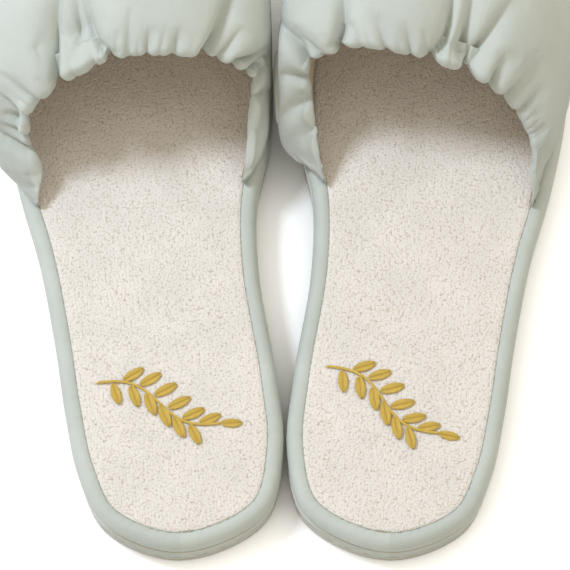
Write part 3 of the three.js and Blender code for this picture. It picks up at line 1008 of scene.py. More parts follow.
def settle(obj: bpy.types.Object, held: np.ndarray, pressure: float, slack: float,
           frames: int = 20, most: float = 0.005, sink: float = 0.0004) -> None:
    """Lets a cloth mesh settle under pressure from inside, and keeps the result.

    Args:
        obj: the mesh, in metres.
        held: 1 where a point is held still, 0 where it is free.
        pressure: how hard the cloth is blown out.
        slack: how much larger the cloth is than its shape at the start.
        frames: how long it settles.
        most: how far a point may move, in metres.
        sink: how far it may move inwards.
    """
    mesh = obj.data
    count = len(mesh.vertices)
    start = np.zeros(count * 3, np.float32)
    mesh.vertices.foreach_get("co", start)
    start = start.reshape(-1, 3)
    outward = np.zeros(count * 3, np.float32)
    mesh.vertices.foreach_get("normal", outward)
    outward = outward.reshape(-1, 3)
    mesh.vertices.foreach_set("co", (start * SIM_SCALE).ravel())
    group = obj.vertex_groups.new(name="held")
    group.add(np.flatnonzero(held > 0).tolist(), 1.0, "REPLACE")
    modifier = obj.modifiers.new("Cloth", "CLOTH")
    cloth = modifier.settings
    cloth.quality = 6
    cloth.mass = 0.3
    cloth.air_damping = 2.0
    cloth.tension_stiffness = cloth.compression_stiffness = 25.0
    cloth.shear_stiffness = 8.0
    cloth.bending_model = "ANGULAR"
    cloth.bending_stiffness = 1.4
    cloth.tension_damping = cloth.compression_damping = cloth.shear_damping = 6.0
    cloth.bending_damping = 0.6
    cloth.shrink_min = -slack
    cloth.use_pressure = True
    cloth.uniform_pressure_force = pressure
    cloth.vertex_group_mass = "held"
    cloth.pin_stiffness = 1.0
    cloth.effector_weights.gravity = 0.0
    modifier.collision_settings.use_collision = False
    modifier.collision_settings.use_self_collision = False
    modifier.point_cache.frame_start = 1
    modifier.point_cache.frame_end = frames
    scene = bpy.context.scene
    for number in range(1, frames + 1):
        scene.frame_set(number)
    settled = obj.evaluated_get(bpy.context.evaluated_depsgraph_get()).to_mesh()
    final = np.zeros(count * 3, np.float32)
    settled.vertices.foreach_get("co", final)
    obj.modifiers.remove(modifier)
    obj.vertex_groups.clear()
    scene.frame_set(1)
    moved = final.reshape(-1, 3) / SIM_SCALE - start
    inward = np.minimum((moved * outward).sum(axis=1) + sink, 0.0)[:, None]
    moved -= inward * outward
    far = np.linalg.norm(moved, axis=1)[:, None]
    moved *= np.minimum(1.0, most / np.maximum(far, 1e-9))
    mesh.vertices.foreach_set("co", (start + moved).ravel())
    mesh.update()


# --------------------------------------------------------------------------------------------------
# Sole
# --------------------------------------------------------------------------------------------------


BEND_START = 127.0
BEND_END = 95.0


def bend(obj: bpy.types.Object, place: Place, slot: str, *nodes: str) -> None:
    """Hides a layer's CAD nodes, in whose place the layer stands, and bakes its transform into its mesh.

    Args:
        obj: the layer.
        place: the slipper that it belongs to.
        slot: its material slot; not used.
        nodes: the CAD nodes' names, without the side.
    """
    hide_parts(*[f"{place.side.value}_{node}" for node in nodes])
    start, end = place.world([[0.0, BEND_START, 0.0], [0.0, BEND_END, 0.0]])
    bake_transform(obj)


def carry(obj: bpy.types.Object, place: Place, body: str, slot: str, *nodes: str) -> None:
    """Sets a piece on one body, in place of its CAD nodes.

    Args:
        obj: the piece.
        place: the slipper that it belongs to.
        body: the body's name.
        slot: its material slot; not used.
        nodes: the CAD nodes' names, without the side.
    """
    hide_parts(*[f"{place.side.value}_{node}" for node in nodes])
    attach(obj, body)


def both(stem: str) -> tuple[str, str]:
    """Names of a layer's forefoot and heel nodes, without the side."""
    return f"{stem}_front", f"{stem}_heel"


@dataclass
class Outsole:
    """The soft sheet under the sole, with its grip dots."""

    place: Place
    low: float = 0.6
    edge: float = 0.6
    dot_pitch: float = 5.0
    dot_radius: float = 1.2
    dot_margin: float = 5.0
    dot_sides: int = 10

    def dots(self) -> Cloud:
        """Returns small domes in staggered rows, closed on themselves."""
        rows = np.arange(self.dot_margin, PLAN.length - self.dot_margin, self.dot_pitch * 0.87)
        medial, lateral = OUTLINE.span(rows, self.dot_margin)
        centres = []
        for number, (y, left, right) in enumerate(zip(rows, medial, lateral)):
            shift = self.dot_pitch / 2 * (number % 2)
            across = np.arange(-60.0, 60.0, self.dot_pitch) + shift
            centres += [(x, y) for x in across if left < x < right]
        centres = np.array(centres)
        angle = 2 * np.pi * np.arange(self.dot_sides) / self.dot_sides
        circle = np.column_stack([np.cos(angle), np.sin(angle)]) * self.dot_radius
        rings = (
            (1.0, self.low + 0.3), (1.0, self.low), (0.86, self.low * 0.45), (0.5, self.low * 0.12),
            (0.1, 0.0),
        )
        size = len(rings) * self.dot_sides
        points = np.concatenate([np.column_stack([circle * r, np.full(self.dot_sides, z)]) for r, z in rings])
        sides = grid_faces(len(rings), self.dot_sides, wrap_columns=True)
        cap = np.arange(1, self.dot_sides - 1)
        lid = np.stack([0 * cap, cap, cap + 1], axis=-1)
        cloud = Cloud()
        for x, y in centres:
            cloud.faces.extend((sides[:, ::-1] + cloud.count).tolist())
            cloud.faces.extend((lid + cloud.count).tolist())
            cloud.faces.extend((lid[:, ::-1] + cloud.count + size - self.dot_sides).tolist())
            cloud.points.append(points + np.array([x, y, 0.0]))
            cloud.uvs.append(points[:, :2] + np.array([x, y]))
            cloud.count += size
        return cloud

    def build(self, materials: "Wardrobe") -> bpy.types.Object:
        """Makes the sheet and its dots and sets them under the sole.

        Args:
            materials: the finishes.

        Returns:
            The sheet with its dots.
        """
        cloud = slab(0.15, self.low, STACK.outsole[1], 170, 40, self.edge)
        dots = self.dots()
        cloud.faces.extend((np.array(face) + cloud.count).tolist() for face in dots.faces)
        cloud.points += dots.points
        cloud.uvs += dots.uvs
        cloud.count += dots.count
        obj = cloud.build(f"{self.place.side.value}_outsole_sheet", self.place)
        materials.put(obj, Role.OUTSOLE)
        bend(obj, self.place, "outsole", *both("outsole"))
        return obj


@dataclass
class Platform:
    """The foam platform, the cloth strip round it and the cord along its top."""

    place: Place
    steps: int = 460
    pucker: float = 0.16
    pucker_pitch: float = 7.0
    turned: float = 3.4
    cloth: float = 0.45
    cord_out: float = 0.35
    cord_radius: float = 0.62

    def wrinkle(self, share: np.ndarray, number: int) -> tuple[np.ndarray, float]:
        """Small unevenness of the strip's outer face."""
        walked = share * OUTLINE.perimeter
        turns = 2 * np.pi * round(OUTLINE.perimeter / self.pucker_pitch)
        wave = np.sin(turns * share + 2 * np.sin(walked / 23))
        return (self.pucker * wave * (number in (2, 3, 4)), 0.0)

    def build(self, materials: "Wardrobe") -> list[bpy.types.Object]:
        """Makes the three pieces.

        Args:
            materials: the finishes.

        Returns:
            Foam, strip and cord.
        """
        side = self.place.side.value
        low, high = STACK.platform
        middle = (low + high) / 2
        foam = slab(self.cloth, low + self.cloth, high - self.cloth, 110, 26, 0.5)
        foam = foam.build(f"{side}_platform_foam", self.place)
        materials.put(foam, Role.FOAM)
        bend(foam, self.place, "foam", *both("platform"))
        outer = [
            (self.turned, low), (0.5, low), (0.06, low + 0.55), (-0.12, middle),
            (0.06, high - 0.55), (0.5, high), (self.turned, high),
        ]
        inner = [
            (self.turned, high - 0.4), (0.75, high - 0.4), (0.42, high - 0.75), (0.3, middle),
            (0.42, low + 0.75), (0.75, low + 0.4), (self.turned, low + 0.4),
        ]
        strip = band(outer + inner, self.steps, self.wrinkle).build(f"{side}_platform_strip", self.place)
        materials.put(strip, Role.BINDING)
        bend(strip, self.place, "satin", *both("platform_cover"))
        turn = np.linspace(0, 2 * np.pi, 10, endpoint=False)
        centre_in = self.cord_radius - self.cord_out
        centre_up = (STACK.board[0] + STACK.board[1]) / 2
        ring = [
            (centre_in - self.cord_radius * math.cos(a), centre_up + self.cord_radius * math.sin(a))
            for a in turn
        ]
        cord = band(ring, self.steps, None).build(f"{side}_welt_piping", self.place)
        materials.put(cord, Role.PIPING)
        bend(cord, self.place, "piping", *both("welt"))
        return [foam, strip, cord]


@dataclass
class Footbed:
    """What the foot stands on: a board, a foam cushion and the terry insole."""

    place: Place
    cushion_edge: float = 2.6
    loop_pitch: float = 1.2
    loop_height: float = 0.3
    tucked: float = 0.15
    terry_rows: int = 620
    terry_columns: int = 220
    hem: float = 1.2
    seed: int = 5

    def loops(self, x: np.ndarray, y: np.ndarray, near: np.ndarray) -> np.ndarray:
        """Height of the terry's loops over its ground cloth.

        Args:
            x: places across the sole.
            y: places along it.
            near: distance of each from the terry's side.

        Returns:
            Heights in millimetres.
        """
        pitch = self.loop_pitch
        cells = (int(PLAN.length / pitch) + 6, int(PLAN.ball / pitch) + 12)
        draw = np.random.default_rng(self.seed)
        jitter = draw.uniform(-0.32, 0.32, cells + (2,))
        tall = draw.uniform(0.6, 1.0, cells)
        row = y / pitch + 2.0
        column = x / pitch + cells[1] / 2
        height = np.zeros_like(x)
        for down in (-1, 0, 1):
            for right in (-1, 0, 1):
                i = np.clip(np.floor(row).astype(int) + down, 0, cells[0] - 1)
                j = np.clip(np.floor(column).astype(int) + right, 0, cells[1] - 1)
                off_y = row - (i + 0.5 + jitter[i, j, 0])
                off_x = column - (j + 0.5 + jitter[i, j, 1])
                round_loop = 1.0 - (off_x / 0.62) ** 2 - (off_y / 0.78) ** 2
                height = np.maximum(height, tall[i, j] * np.sqrt(np.clip(round_loop, 0, None)))
        swell = 0.12 * np.sin(x / 6.3 + 1.1) * np.sin(y / 8.1)
        pile = (height * self.loop_height + swell) * np.clip(near / self.hem, 0.15, 1)
        return pile - 0.3 * np.exp(-near / 0.6)

    def build(self, materials: "Wardrobe") -> list[bpy.types.Object]:
        """Makes the three layers.

        Args:
            materials: the finishes.

        Returns:
            Board, cushion and terry.
        """
        side = self.place.side.value
        inner = STACK.cloth + STACK.fit
        board = slab(inner, *STACK.board, 100, 24, 0.3).build(f"{side}_insole_board_sheet", self.place)
        materials.put(board, Role.BOARD)
        bend(board, self.place, "board", *both("insole_board"))
        cushion = slab(inner + 0.2, *STACK.cushion, 140, 44, self.cushion_edge)
        cushion = cushion.build(f"{side}_cushion_pad", self.place)
        materials.put(cushion, Role.FOAM)
        bend(cushion, self.place, "foam", *both("cushion"))
        inset = STACK.border_width - self.tucked
        terry = slab(inset, *STACK.terry, self.terry_rows, self.terry_columns, 0.0, self.loops)
        terry = terry.build(f"{side}_terry_insole", self.place)
        materials.put(terry, Role.TERRY)
        bend(terry, self.place, "terry", *both("terry"))
        return [board, cushion, terry]


@dataclass
class Border:
    """The rolled satin binding round the insole and the seam that holds it."""

    place: Place
    steps: int = 900
    stitch_pitch: float = 2.5
    stitch_length: float = 1.75
    pull: float = 0.2
    seed: int = 3

    PROFILE = (
        (0.95, 9.3), (0.35, 9.35), (-0.05, 10.2), (-0.2, 11.3), (-0.1, 12.5), (0.35, 13.6), (1.15, 14.5),
        (2.1, 15.05), (3.1, 15.2), (4.1, 15.1), (4.9, 14.8), (5.4, 14.3), (5.1, 14.1), (4.5, 14.1),
        (3.6, 14.25), (2.5, 14.15), (1.7, 13.7), (1.05, 12.8), (0.8, 11.6), (0.85, 10.3),
    )
    OUTER = range(1, 12)

    def ripple(self, share: np.ndarray, number: int) -> tuple[np.ndarray, np.ndarray]:
        """Puckers that the seam pulls into the roll.

        Args:
            share: places round the sole.
            number: which point of the binding's profile it is.

        Returns:
            How far each place moves inwards and upwards.
        """
        if number not in self.OUTER:
            return np.zeros_like(share), np.zeros_like(share)
        draw = np.random.default_rng(self.seed)
        waves = np.zeros_like(share)
        for _ in range(14):
            turns = draw.integers(30, 190)
            waves += draw.uniform(0.3, 1.0) * np.sin(2 * np.pi * (turns * share + draw.uniform())) / 5.0
        stitches = round(OUTLINE.perimeter / self.stitch_pitch)
        pulled = np.cos(2 * np.pi * stitches * share)
        close = (number - 1) / (len(self.OUTER) - 1)
        inward = 0.1 * waves * math.sin(math.pi * close)
        upward = self.pull * (waves * close**1.5 + 0.35 * pulled * close**5)
        return inward, upward

    def build(self, materials: "Wardrobe") -> list[bpy.types.Object]:
        """Makes the binding and its stitches.

        Args:
            materials: the finishes.

        Returns:
            Both pieces.
        """
        side = self.place.side.value
        binding = band(self.PROFILE, self.steps, self.ripple).build(f"{side}_border_binding", self.place)
        materials.put(binding, Role.BINDING)
        bend(binding, self.place, "satin", *both("border"))
        count = round(OUTLINE.perimeter / self.stitch_pitch)
        share = (np.arange(count) + 0.5) / count
        step = 0.3 / OUTLINE.perimeter
        inset = STACK.border_width - 0.15
        along = OUTLINE.at(share + step, inset) - OUTLINE.at(share - step, inset)
        along /= np.linalg.norm(along, axis=1)[:, None]
        flat = np.zeros(count)
        centres = np.column_stack([OUTLINE.at(share, inset), flat + STACK.terry[1] - 0.35])
        seam = capsules(centres, np.column_stack([along, flat]), np.tile([0.0, 0.0, 1.0], (count, 1)),
                        self.stitch_length, 0.42, 0.4)
        seam = seam.build(f"{side}_border_seam", self.place)
        materials.put(seam, Role.SEWING_THREAD)
        bend(seam, self.place, "thread", "border_stitch")
        return [binding, seam]


# --------------------------------------------------------------------------------------------------
# Embroidery
# --------------------------------------------------------------------------------------------------


@dataclass
class Sprig:
    """A leafy sprig worked in gold thread on the heel of the insole."""

    place: Place
    centre: tuple[float, float] = (0.0, 50.0)
    start: tuple[float, float] = (-24.5, 11.0)
    end: tuple[float, float] = (15.0, -8.5)
    sway: float = 3.4
    leaf_length: float = 9.6
    leaf_width: float = 3.5
    pairs: int = 6
    thread: float = 0.42
    pitch: float = 0.36
    height: float = STACK.terry[1] + 0.75
    raised: float = 0.5

    def stem(self, share: np.ndarray) -> np.ndarray:
        """Points of the stem, which sways to one side and then to the other."""
        start, end = np.array(self.start), np.array(self.end)
        run = end - start
        across = np.array([-run[1], run[0]]) / np.linalg.norm(run)
        share = np.asarray(share, float)[..., None]
        return start + run * share + across * self.sway * np.sin(2 * np.pi * share)

    def leaf(self, root: np.ndarray, angle: float, size: float) -> tuple[list, list, list]:
        """Slanting threads of one leaf, laid from its midrib out to both edges.

        Args:
            root: where it leaves the stem.
            angle: its direction.
            size: its size against a full leaf.

        Returns:
            Middles, directions and lengths of the threads.
        """
        along = np.array([math.cos(angle), math.sin(angle)])
        across = np.array([-along[1], along[0]])
        long, wide = self.leaf_length * size, self.leaf_width * size / 2
        middles, directions, lengths = [], [], []
        for walked in np.arange(1.0, long - 0.4, self.pitch):
            half = wide * math.sin(math.pi * min(walked / long, 1.0) ** 0.85) ** 0.75
            for hand in (-1, 1):
                slant = along * 0.55 + across * hand
                slant /= np.linalg.norm(slant)
                reach = max(half * 1.15, 0.35)
                middles.append(root + along * walked + slant * reach / 2)
                directions.append(slant)
                lengths.append(reach + 0.25)
        return middles, directions, lengths

    def build(self, materials: "Wardrobe") -> bpy.types.Object:
        """Makes the sprig and sets it on the heel.

        Args:
            materials: the finishes.

        Returns:
            The sprig.
        """
        middles, directions, lengths = [], [], []
        run = np.array(self.end) - np.array(self.start)
        length = float(np.linalg.norm(run)) * 1.06
        heading = math.atan2(run[1], run[0])
        shares = np.arange(0.0, 1.0, self.pitch * 1.25 / length)
        points = self.stem(shares)
        ahead = self.stem(shares + 0.004) - self.stem(shares - 0.004)
        for point, step in zip(points, ahead):
            step = step / np.linalg.norm(step)
            slant = step * 0.85 + np.array([-step[1], step[0]]) * 0.5
            middles.append(point)
            directions.append(slant / np.linalg.norm(slant))
            lengths.append(1.75)
        for number in range(self.pairs):
            for hand in (-1, 1):
                share = 0.1 + 0.8 * (number + 0.25 * (hand + 1)) / self.pairs
                size = 1.0 - 0.22 * abs(share - 0.45)
                leaf = self.leaf(self.stem(share), heading + hand * (0.95 - 0.25 * share), size)
                for found, more in zip((middles, directions, lengths), leaf):
                    found.extend(more)
        tip = self.leaf(self.stem(0.985), heading + 0.35, 0.85)
        for found, more in zip((middles, directions, lengths), tip):
            found.extend(more)
        flat = np.array(middles) + np.array(self.centre)
        count = len(flat)
        lift = self.height + 0.12 * (np.arange(count) % 2)
        cloud = capsules(
            np.column_stack([flat, lift]),
            np.column_stack([np.array(directions), np.zeros(count)]),
            np.tile([0.0, 0.0, 1.0], (count, 1)), np.array(lengths), self.thread, self.raised,
        )
        obj = cloud.build(f"{self.place.side.value}_sprig", self.place, mirror=False)
        materials.put(obj, Role.GOLD_THREAD)
        carry(obj, self.place, self.place.heel, "gold_thread", "heel_embroidery")
        return obj


# --------------------------------------------------------------------------------------------------
# Finishes
# --------------------------------------------------------------------------------------------------


class Role(Enum):
    """What a finish is for."""

    SATIN = "satin"
    BINDING = "binding"
    TERRY = "terry"
    LINING = "lining"
    WADDING = "wadding"
    ELASTIC = "elastic"
    FOAM = "foam"
    BOARD = "board"
    PIPING = "piping"
    OUTSOLE = "outsole"
    SEWING_THREAD = "sewing_thread"
    GOLD_THREAD = "gold_thread"
    FLOOR = "floor"


Colour = tuple[float, float, float]


class Graph:
    """A node tree with short ways to add nodes and links."""

    def __init__(self, tree: bpy.types.NodeTree) -> None:
        """Args: tree: the tree to add to."""
        self.tree = tree

    def add(self, kind: str, **settings: object) -> bpy.types.Node:
        """Adds a node.

        Args:
            kind: its type.
            settings: its attributes.

        Returns:
            The node.
        """
        node = self.tree.nodes.new(kind)
        for name, value in settings.items():
            setattr(node, name, value)
        return node

    def feed(self, target: bpy.types.NodeSocket, source: object) -> None:
        """Links a socket into another, or sets a plain value on it."""
        if isinstance(source, bpy.types.NodeSocket):
            self.tree.links.new(source, target)
        else:
            target.default_value = source

    def math(self, operation: str, *values: object, clamp: bool = False) -> bpy.types.NodeSocket:
        """Adds a Math node.

        Args:
            operation: what it does.
            values: its inputs, as sockets or numbers.
            clamp: whether its result is kept from 0 to 1.

        Returns:
            Its result.
        """
        node = self.add("ShaderNodeMath", operation=operation, use_clamp=clamp)
        for socket, value in zip(node.inputs, values):
            self.feed(socket, value)
        return node.outputs[0]

    def mix(self, factor: object, first: object, second: object) -> bpy.types.NodeSocket:
        """Adds a colour mix.

        Args:
            factor: 0 for the first colour, 1 for the second.
            first: a socket or colour.
            second: a socket or colour.

        Returns:
            The mixed colour.
        """
        node = self.add("ShaderNodeMix", data_type="RGBA")
        self.feed(node.inputs[0], factor)
        for socket, value in ((node.inputs[6], first), (node.inputs[7], second)):
            self.feed(socket, (*value, 1.0) if isinstance(value, tuple) else value)
        return node.outputs[2]

    def ramp(self, value: object, low: float, high: float) -> bpy.types.NodeSocket:
        """Adds a smooth step from 0 at low to 1 at high."""
        node = self.add("ShaderNodeMapRange", interpolation_type="SMOOTHSTEP")
        self.feed(node.inputs[0], value)
        node.inputs[1].default_value, node.inputs[2].default_value = low, high
        return node.outputs[0]

    def noise(self, vector: object, scale: object, detail: float = 3.0, roughness: float = 0.55) -> object:
        """Adds a noise and gives its value."""
        node = self.add("ShaderNodeTexNoise")
        self.feed(node.inputs["Vector"], vector)
        self.feed(node.inputs["Scale"], scale)
        node.inputs["Detail"].default_value = detail
        node.inputs["Roughness"].default_value = roughness
        return node.outputs["Fac"]


def new_group(name: str, inputs: Sequence[tuple[str, str, object]],
              outputs: Sequence[tuple[str, str]]) -> tuple:
    """Starts a shader node group.

    Args:
        name: its name.
        inputs: name, socket kind and default of each input.
        outputs: name and socket kind of each output.

    Returns:
        The tree, its graph, its input node and its output node.
    """
    tree = bpy.data.node_groups.new(name, "ShaderNodeTree")
    for label, kind, default in inputs:
        socket = tree.interface.new_socket(label, in_out="INPUT", socket_type=f"NodeSocket{kind}")
        if default is not None:
            socket.default_value = default
    for label, kind in outputs:
        tree.interface.new_socket(label, in_out="OUTPUT", socket_type=f"NodeSocket{kind}")
    graph = Graph(tree)
    return tree, graph, graph.add("NodeGroupInput"), graph.add("NodeGroupOutput")


def cloudy_tone() -> bpy.types.NodeTree:
    """Group: colour that drifts softly between two tones, with fine grain on top."""
    tree, graph, given, made = new_group(
        "cloudy tone",
        [("Vector", "Vector", None), ("Scale", "Float", 40.0), ("Light", "Color", (1, 1, 1, 1)),
         ("Dark", "Color", (0, 0, 0, 1)), ("Grain", "Float", 0.1)],
        [("Color", "Color"), ("Mask", "Float")],
    )
    slow = graph.ramp(graph.noise(given.outputs["Vector"], given.outputs["Scale"]), 0.3, 0.7)
    fine_scale = graph.math("MULTIPLY", given.outputs["Scale"], 55.0)
    fine = graph.math("SUBTRACT", graph.noise(given.outputs["Vector"], fine_scale, 2.0, 0.7), 0.5)
    grain = graph.math("MULTIPLY", fine, given.outputs["Grain"])
    mask = graph.math("ADD", slow, graph.math("MULTIPLY", grain, 4.0), clamp=True)
    node = graph.add("ShaderNodeMix", data_type="RGBA")
    graph.feed(node.inputs[0], mask)
    graph.feed(node.inputs[6], given.outputs["Dark"])
    graph.feed(node.inputs[7], given.outputs["Light"])
    graph.feed(made.inputs["Color"], node.outputs[2])
    graph.feed(made.inputs["Mask"], mask)
    return tree


def woven_threads() -> bpy.types.NodeTree:
    """Group: a plain weave, with the gaps between its threads."""
    tree, graph, given, made = new_group(
        "woven threads",
        [("Vector", "Vector", None), ("Threads", "Float", 2000.0), ("Uneven", "Float", 0.3)],
        [("Height", "Float"), ("Gap", "Float")],
    )
    split = graph.add("ShaderNodeSeparateXYZ")
    graph.feed(split.inputs[0], given.outputs["Vector"])
    drift = graph.noise(given.outputs["Vector"], 300.0, 2.0)
    drift = graph.math("MULTIPLY", graph.math("SUBTRACT", drift, 0.5), given.outputs["Uneven"])
    waves = []
    for axis in (0, 1):
        turns = graph.math("MULTIPLY", split.outputs[axis], given.outputs["Threads"])
        turns = graph.math("ADD", turns, graph.math("MULTIPLY", drift, 3.0))
        waves.append(graph.math("SINE", graph.math("MULTIPLY", turns, math.tau)))
    crossing = graph.math("MULTIPLY", waves[0], waves[1])
    height = graph.math("MULTIPLY_ADD", crossing, 0.5, 0.5)
    graph.feed(made.inputs["Height"], height)
    graph.feed(made.inputs["Gap"], graph.ramp(graph.math("SUBTRACT", 1.0, height), 0.55, 1.0))
    return tree


def loop_pile() -> bpy.types.NodeTree:
    """Group: small round loops or cells packed side by side, and a mask of the gaps between them, where the
    finishes paint shade.
    """
    tree, graph, given, made = new_group(
        "loop pile",
        [("Vector", "Vector", None), ("Loops", "Float", 1000.0), ("Jitter", "Float", 1.0)],
        [("Height", "Float"), ("Crevice", "Float")],
    )
    warp = graph.add("ShaderNodeVectorMath", operation="ADD")
    shake = graph.add("ShaderNodeTexNoise")
    graph.feed(shake.inputs["Vector"], given.outputs["Vector"])
    shake.inputs["Scale"].default_value = 900.0
    scaled = graph.add("ShaderNodeVectorMath", operation="SCALE")
    graph.feed(scaled.inputs[0], shake.outputs["Color"])
    scaled.inputs["Scale"].default_value = 0.00022
    graph.feed(warp.inputs[0], given.outputs["Vector"])
    graph.feed(warp.inputs[1], scaled.outputs[0])
    cells = graph.add("ShaderNodeTexVoronoi", feature="F1")
    graph.feed(cells.inputs["Vector"], warp.outputs[0])
    graph.feed(cells.inputs["Scale"], given.outputs["Loops"])
    graph.feed(cells.inputs["Randomness"], given.outputs["Jitter"])
    height = graph.math("SUBTRACT", 1.0, graph.math("POWER", cells.outputs["Distance"], 1.6), clamp=True)
    graph.feed(made.inputs["Height"], height)
    graph.feed(made.inputs["Crevice"], graph.ramp(cells.outputs["Distance"], 0.48, 0.92))
    return tree


@dataclass(frozen=True)
class Tools:
    """The node groups that finishes share."""

    tone: bpy.types.NodeTree
    weave: bpy.types.NodeTree
    pile: bpy.types.NodeTree


@dataclass(frozen=True)
class Finish:
    """A finish's plain settings, and how its material is put together."""

    name: str
    light: Colour
    dark: Colour
    roughness: float = 0.7
    sheen: float = 0.0
    sheen_tint: Colour = (1.0, 1.0, 1.0)
    metallic: float = 0.0
    specular: float = 0.4
    tone_scale: float = 30.0
    grain: float = 0.1

    def group(self, graph: Graph, tree: bpy.types.NodeTree, **values: object) -> bpy.types.Node:
        """Places a shared group.

        Args:
            graph: the material's graph.
            tree: the group.
            values: what its inputs are set to or fed with.

        Returns:
            The group's node.
        """
        node = graph.add("ShaderNodeGroup", node_tree=tree)
        for label, value in values.items():
            graph.feed(node.inputs[label], (*value, 1.0) if isinstance(value, tuple) else value)
        return node

    def build(self, tools: Tools) -> bpy.types.Material:
        """Makes the material.

        Args:
            tools: the shared groups.

        Returns:
            The material.
        """
        material = bpy.data.materials.new(self.name)
        material.use_nodes = True
        graph = Graph(material.node_tree)
        shader = material.node_tree.nodes["Principled BSDF"]
        shader.inputs["Roughness"].default_value = self.roughness
        shader.inputs["Metallic"].default_value = self.metallic
        shader.inputs["Specular IOR Level"].default_value = self.specular
        shader.inputs["Sheen Weight"].default_value = self.sheen
        shader.inputs["Sheen Roughness"].default_value = 0.45
        shader.inputs["Sheen Tint"].default_value = (*self.sheen_tint, 1.0)
        place = graph.add("ShaderNodeUVMap", uv_map="cloth").outputs[0]
        tone = self.group(graph, tools.tone, Vector=place, Scale=self.tone_scale, Light=self.light,
                          Dark=self.dark, Grain=self.grain)
        colour, relief = self.detail(graph, tools, place, tone.outputs["Color"])
        graph.feed(shader.inputs["Base Color"], colour)
        if relief:
            bump = graph.add("ShaderNodeBump")
            bump.inputs["Distance"].default_value = relief[1]
            bump.inputs["Strength"].default_value = 1.0
            graph.feed(bump.inputs["Height"], relief[0])
            graph.feed(shader.inputs["Normal"], bump.outputs[0])
        return material

    def detail(self, graph: Graph, tools: Tools, place: object, tone: object) -> tuple:
        """The finish's own surface.

        Args:
            graph: the material's graph; not used here.
            tools: the shared groups; not used here.
            place: the flat place on the cloth, in metres; not used here.
            tone: the drifting colour.

        Returns:
            The colour, and (height, depth in metres) for its relief or nothing.
        """
        return tone, None


@dataclass(frozen=True)
class Woven(Finish):
    """A woven cloth."""

    threads: float = 2200.0
    depth: float = 0.00006
    # Painted shade: how much of the dark colour below is laid into the gaps between the threads, and that
    # colour.
    gap: float = 0.12
    painted_gap_shade: Colour = (0.2, 0.22, 0.19)

    def detail(self, graph: Graph, tools: Tools, place: object, tone: object) -> tuple:
        """Threads over and under each other, with a little painted shade in the gaps."""
        weave = self.group(graph, tools.weave, Vector=place, Threads=self.threads)
        shade = graph.math("MULTIPLY", weave.outputs["Gap"], self.gap)
        rumple = graph.math("MULTIPLY", graph.noise(place, 210.0, 4.0, 0.6), 4.0)
        height = graph.math("ADD", weave.outputs["Height"], rumple)
        return graph.mix(shade, tone, self.painted_gap_shade), (height, self.depth)


@dataclass(frozen=True)
class Pile(Finish):
    """Terry loops, with painted shade in the gaps between them."""

    loops: float = 1250.0
    depth: float = 0.00024
    # Painted shade: the warm colour laid into the gaps between the loops, and how much of it.
    painted_pile_shade: Colour = (0.52, 0.45, 0.36)
    painted_pile_shade_share: float = 0.75

    def detail(self, graph: Graph, tools: Tools, place: object, tone: object) -> tuple:
        """Loops with a warm painted shade in the gaps between them."""
        pile = self.group(graph, tools.pile, Vector=place, Loops=self.loops, Jitter=0.75)
        fuzz = graph.noise(place, 3600.0, 3.0, 0.7)
        shade = graph.math("MULTIPLY", pile.outputs["Crevice"], self.painted_pile_shade_share)
        height = graph.math("ADD", pile.outputs["Height"], graph.math("MULTIPLY", fuzz, 0.5))
        return graph.mix(shade, tone, self.painted_pile_shade), (height, self.depth)


@dataclass(frozen=True)
class Cellular(Finish):
    """Foam, wadding, board or a soft moulded sheet with fine cells or pits."""

    cells: float = 1500.0
    depth: float = 0.00008
    # Painted shade: the colour laid into the hollows between the cells, and how much of it.
    painted_pit_shade: Colour = (0.4, 0.4, 0.38)
    painted_pit_shade_share: float = 0.25

    def detail(self, graph: Graph, tools: Tools, place: object, tone: object) -> tuple:
        """Fine cells, with painted shade in their hollows."""
        pile = self.group(graph, tools.pile, Vector=place, Loops=self.cells)
        shade = graph.math("MULTIPLY", pile.outputs["Crevice"], self.painted_pit_shade_share)
        return graph.mix(shade, tone, self.painted_pit_shade), (pile.outputs["Height"], self.depth)


@dataclass(frozen=True)
class Spun(Finish):
    """A twisted thread, with a finer twist along each stitch."""

    twist: float = 2.5
    depth: float = 0.00008
    shade: Colour = (0.3, 0.2, 0.05)

    def detail(self, graph: Graph, tools: Tools, place: object, tone: object) -> tuple:
        """Strands that wind round the stitch.

        Args:
            graph: the material's graph.
            tools: the shared groups; not used here.
            place: the flat place on the cloth, in metres.
            tone: the drifting colour.

        Returns:
            The colour, and (height, depth in metres) for its relief.
        """
        split = graph.add("ShaderNodeSeparateXYZ")
        graph.feed(split.inputs[0], place)
        along = graph.math("MULTIPLY", split.outputs[0], 1000.0 * self.twist)
        round_it = graph.math("MULTIPLY", split.outputs[1], 1000.0)
        wave = graph.math("SINE", graph.math("ADD", graph.math("MULTIPLY", along, math.tau), round_it))
        height = graph.math("MULTIPLY_ADD", wave, 0.5, 0.5)
        dark = graph.math("MULTIPLY", graph.math("SUBTRACT", 1.0, height), 0.35)
        return graph.mix(dark, tone, self.shade), (height, self.depth)


@dataclass(frozen=True)
class Backdrop(Finish):
    """A plain floor that looks evenly lit from above, except close under the slippers."""

    glow: float = 1.0
    near: float = 0.045

    def build(self, tools: Tools) -> bpy.types.Material:
        """Makes the material, whose glow only the camera sees.

        Args:
            tools: the shared groups.

        Returns:
            The material.
        """
        material = super().build(tools)
        graph = Graph(material.node_tree)
        shader = material.node_tree.nodes["Principled BSDF"]
        shader.inputs["Emission Color"].default_value = (1.0, 1.0, 1.0, 1.0)
        open_sky = graph.add("ShaderNodeAmbientOcclusion", samples=8)
        open_sky.inputs["Distance"].default_value = self.near
        seen = graph.add("ShaderNodeLightPath").outputs["Is Camera Ray"]
        clear = graph.math("POWER", open_sky.outputs["AO"], 2.0)
        strength = graph.math("MULTIPLY", graph.math("MULTIPLY", clear, self.glow), seen)
        graph.feed(shader.inputs["Emission Strength"], strength)
        return material


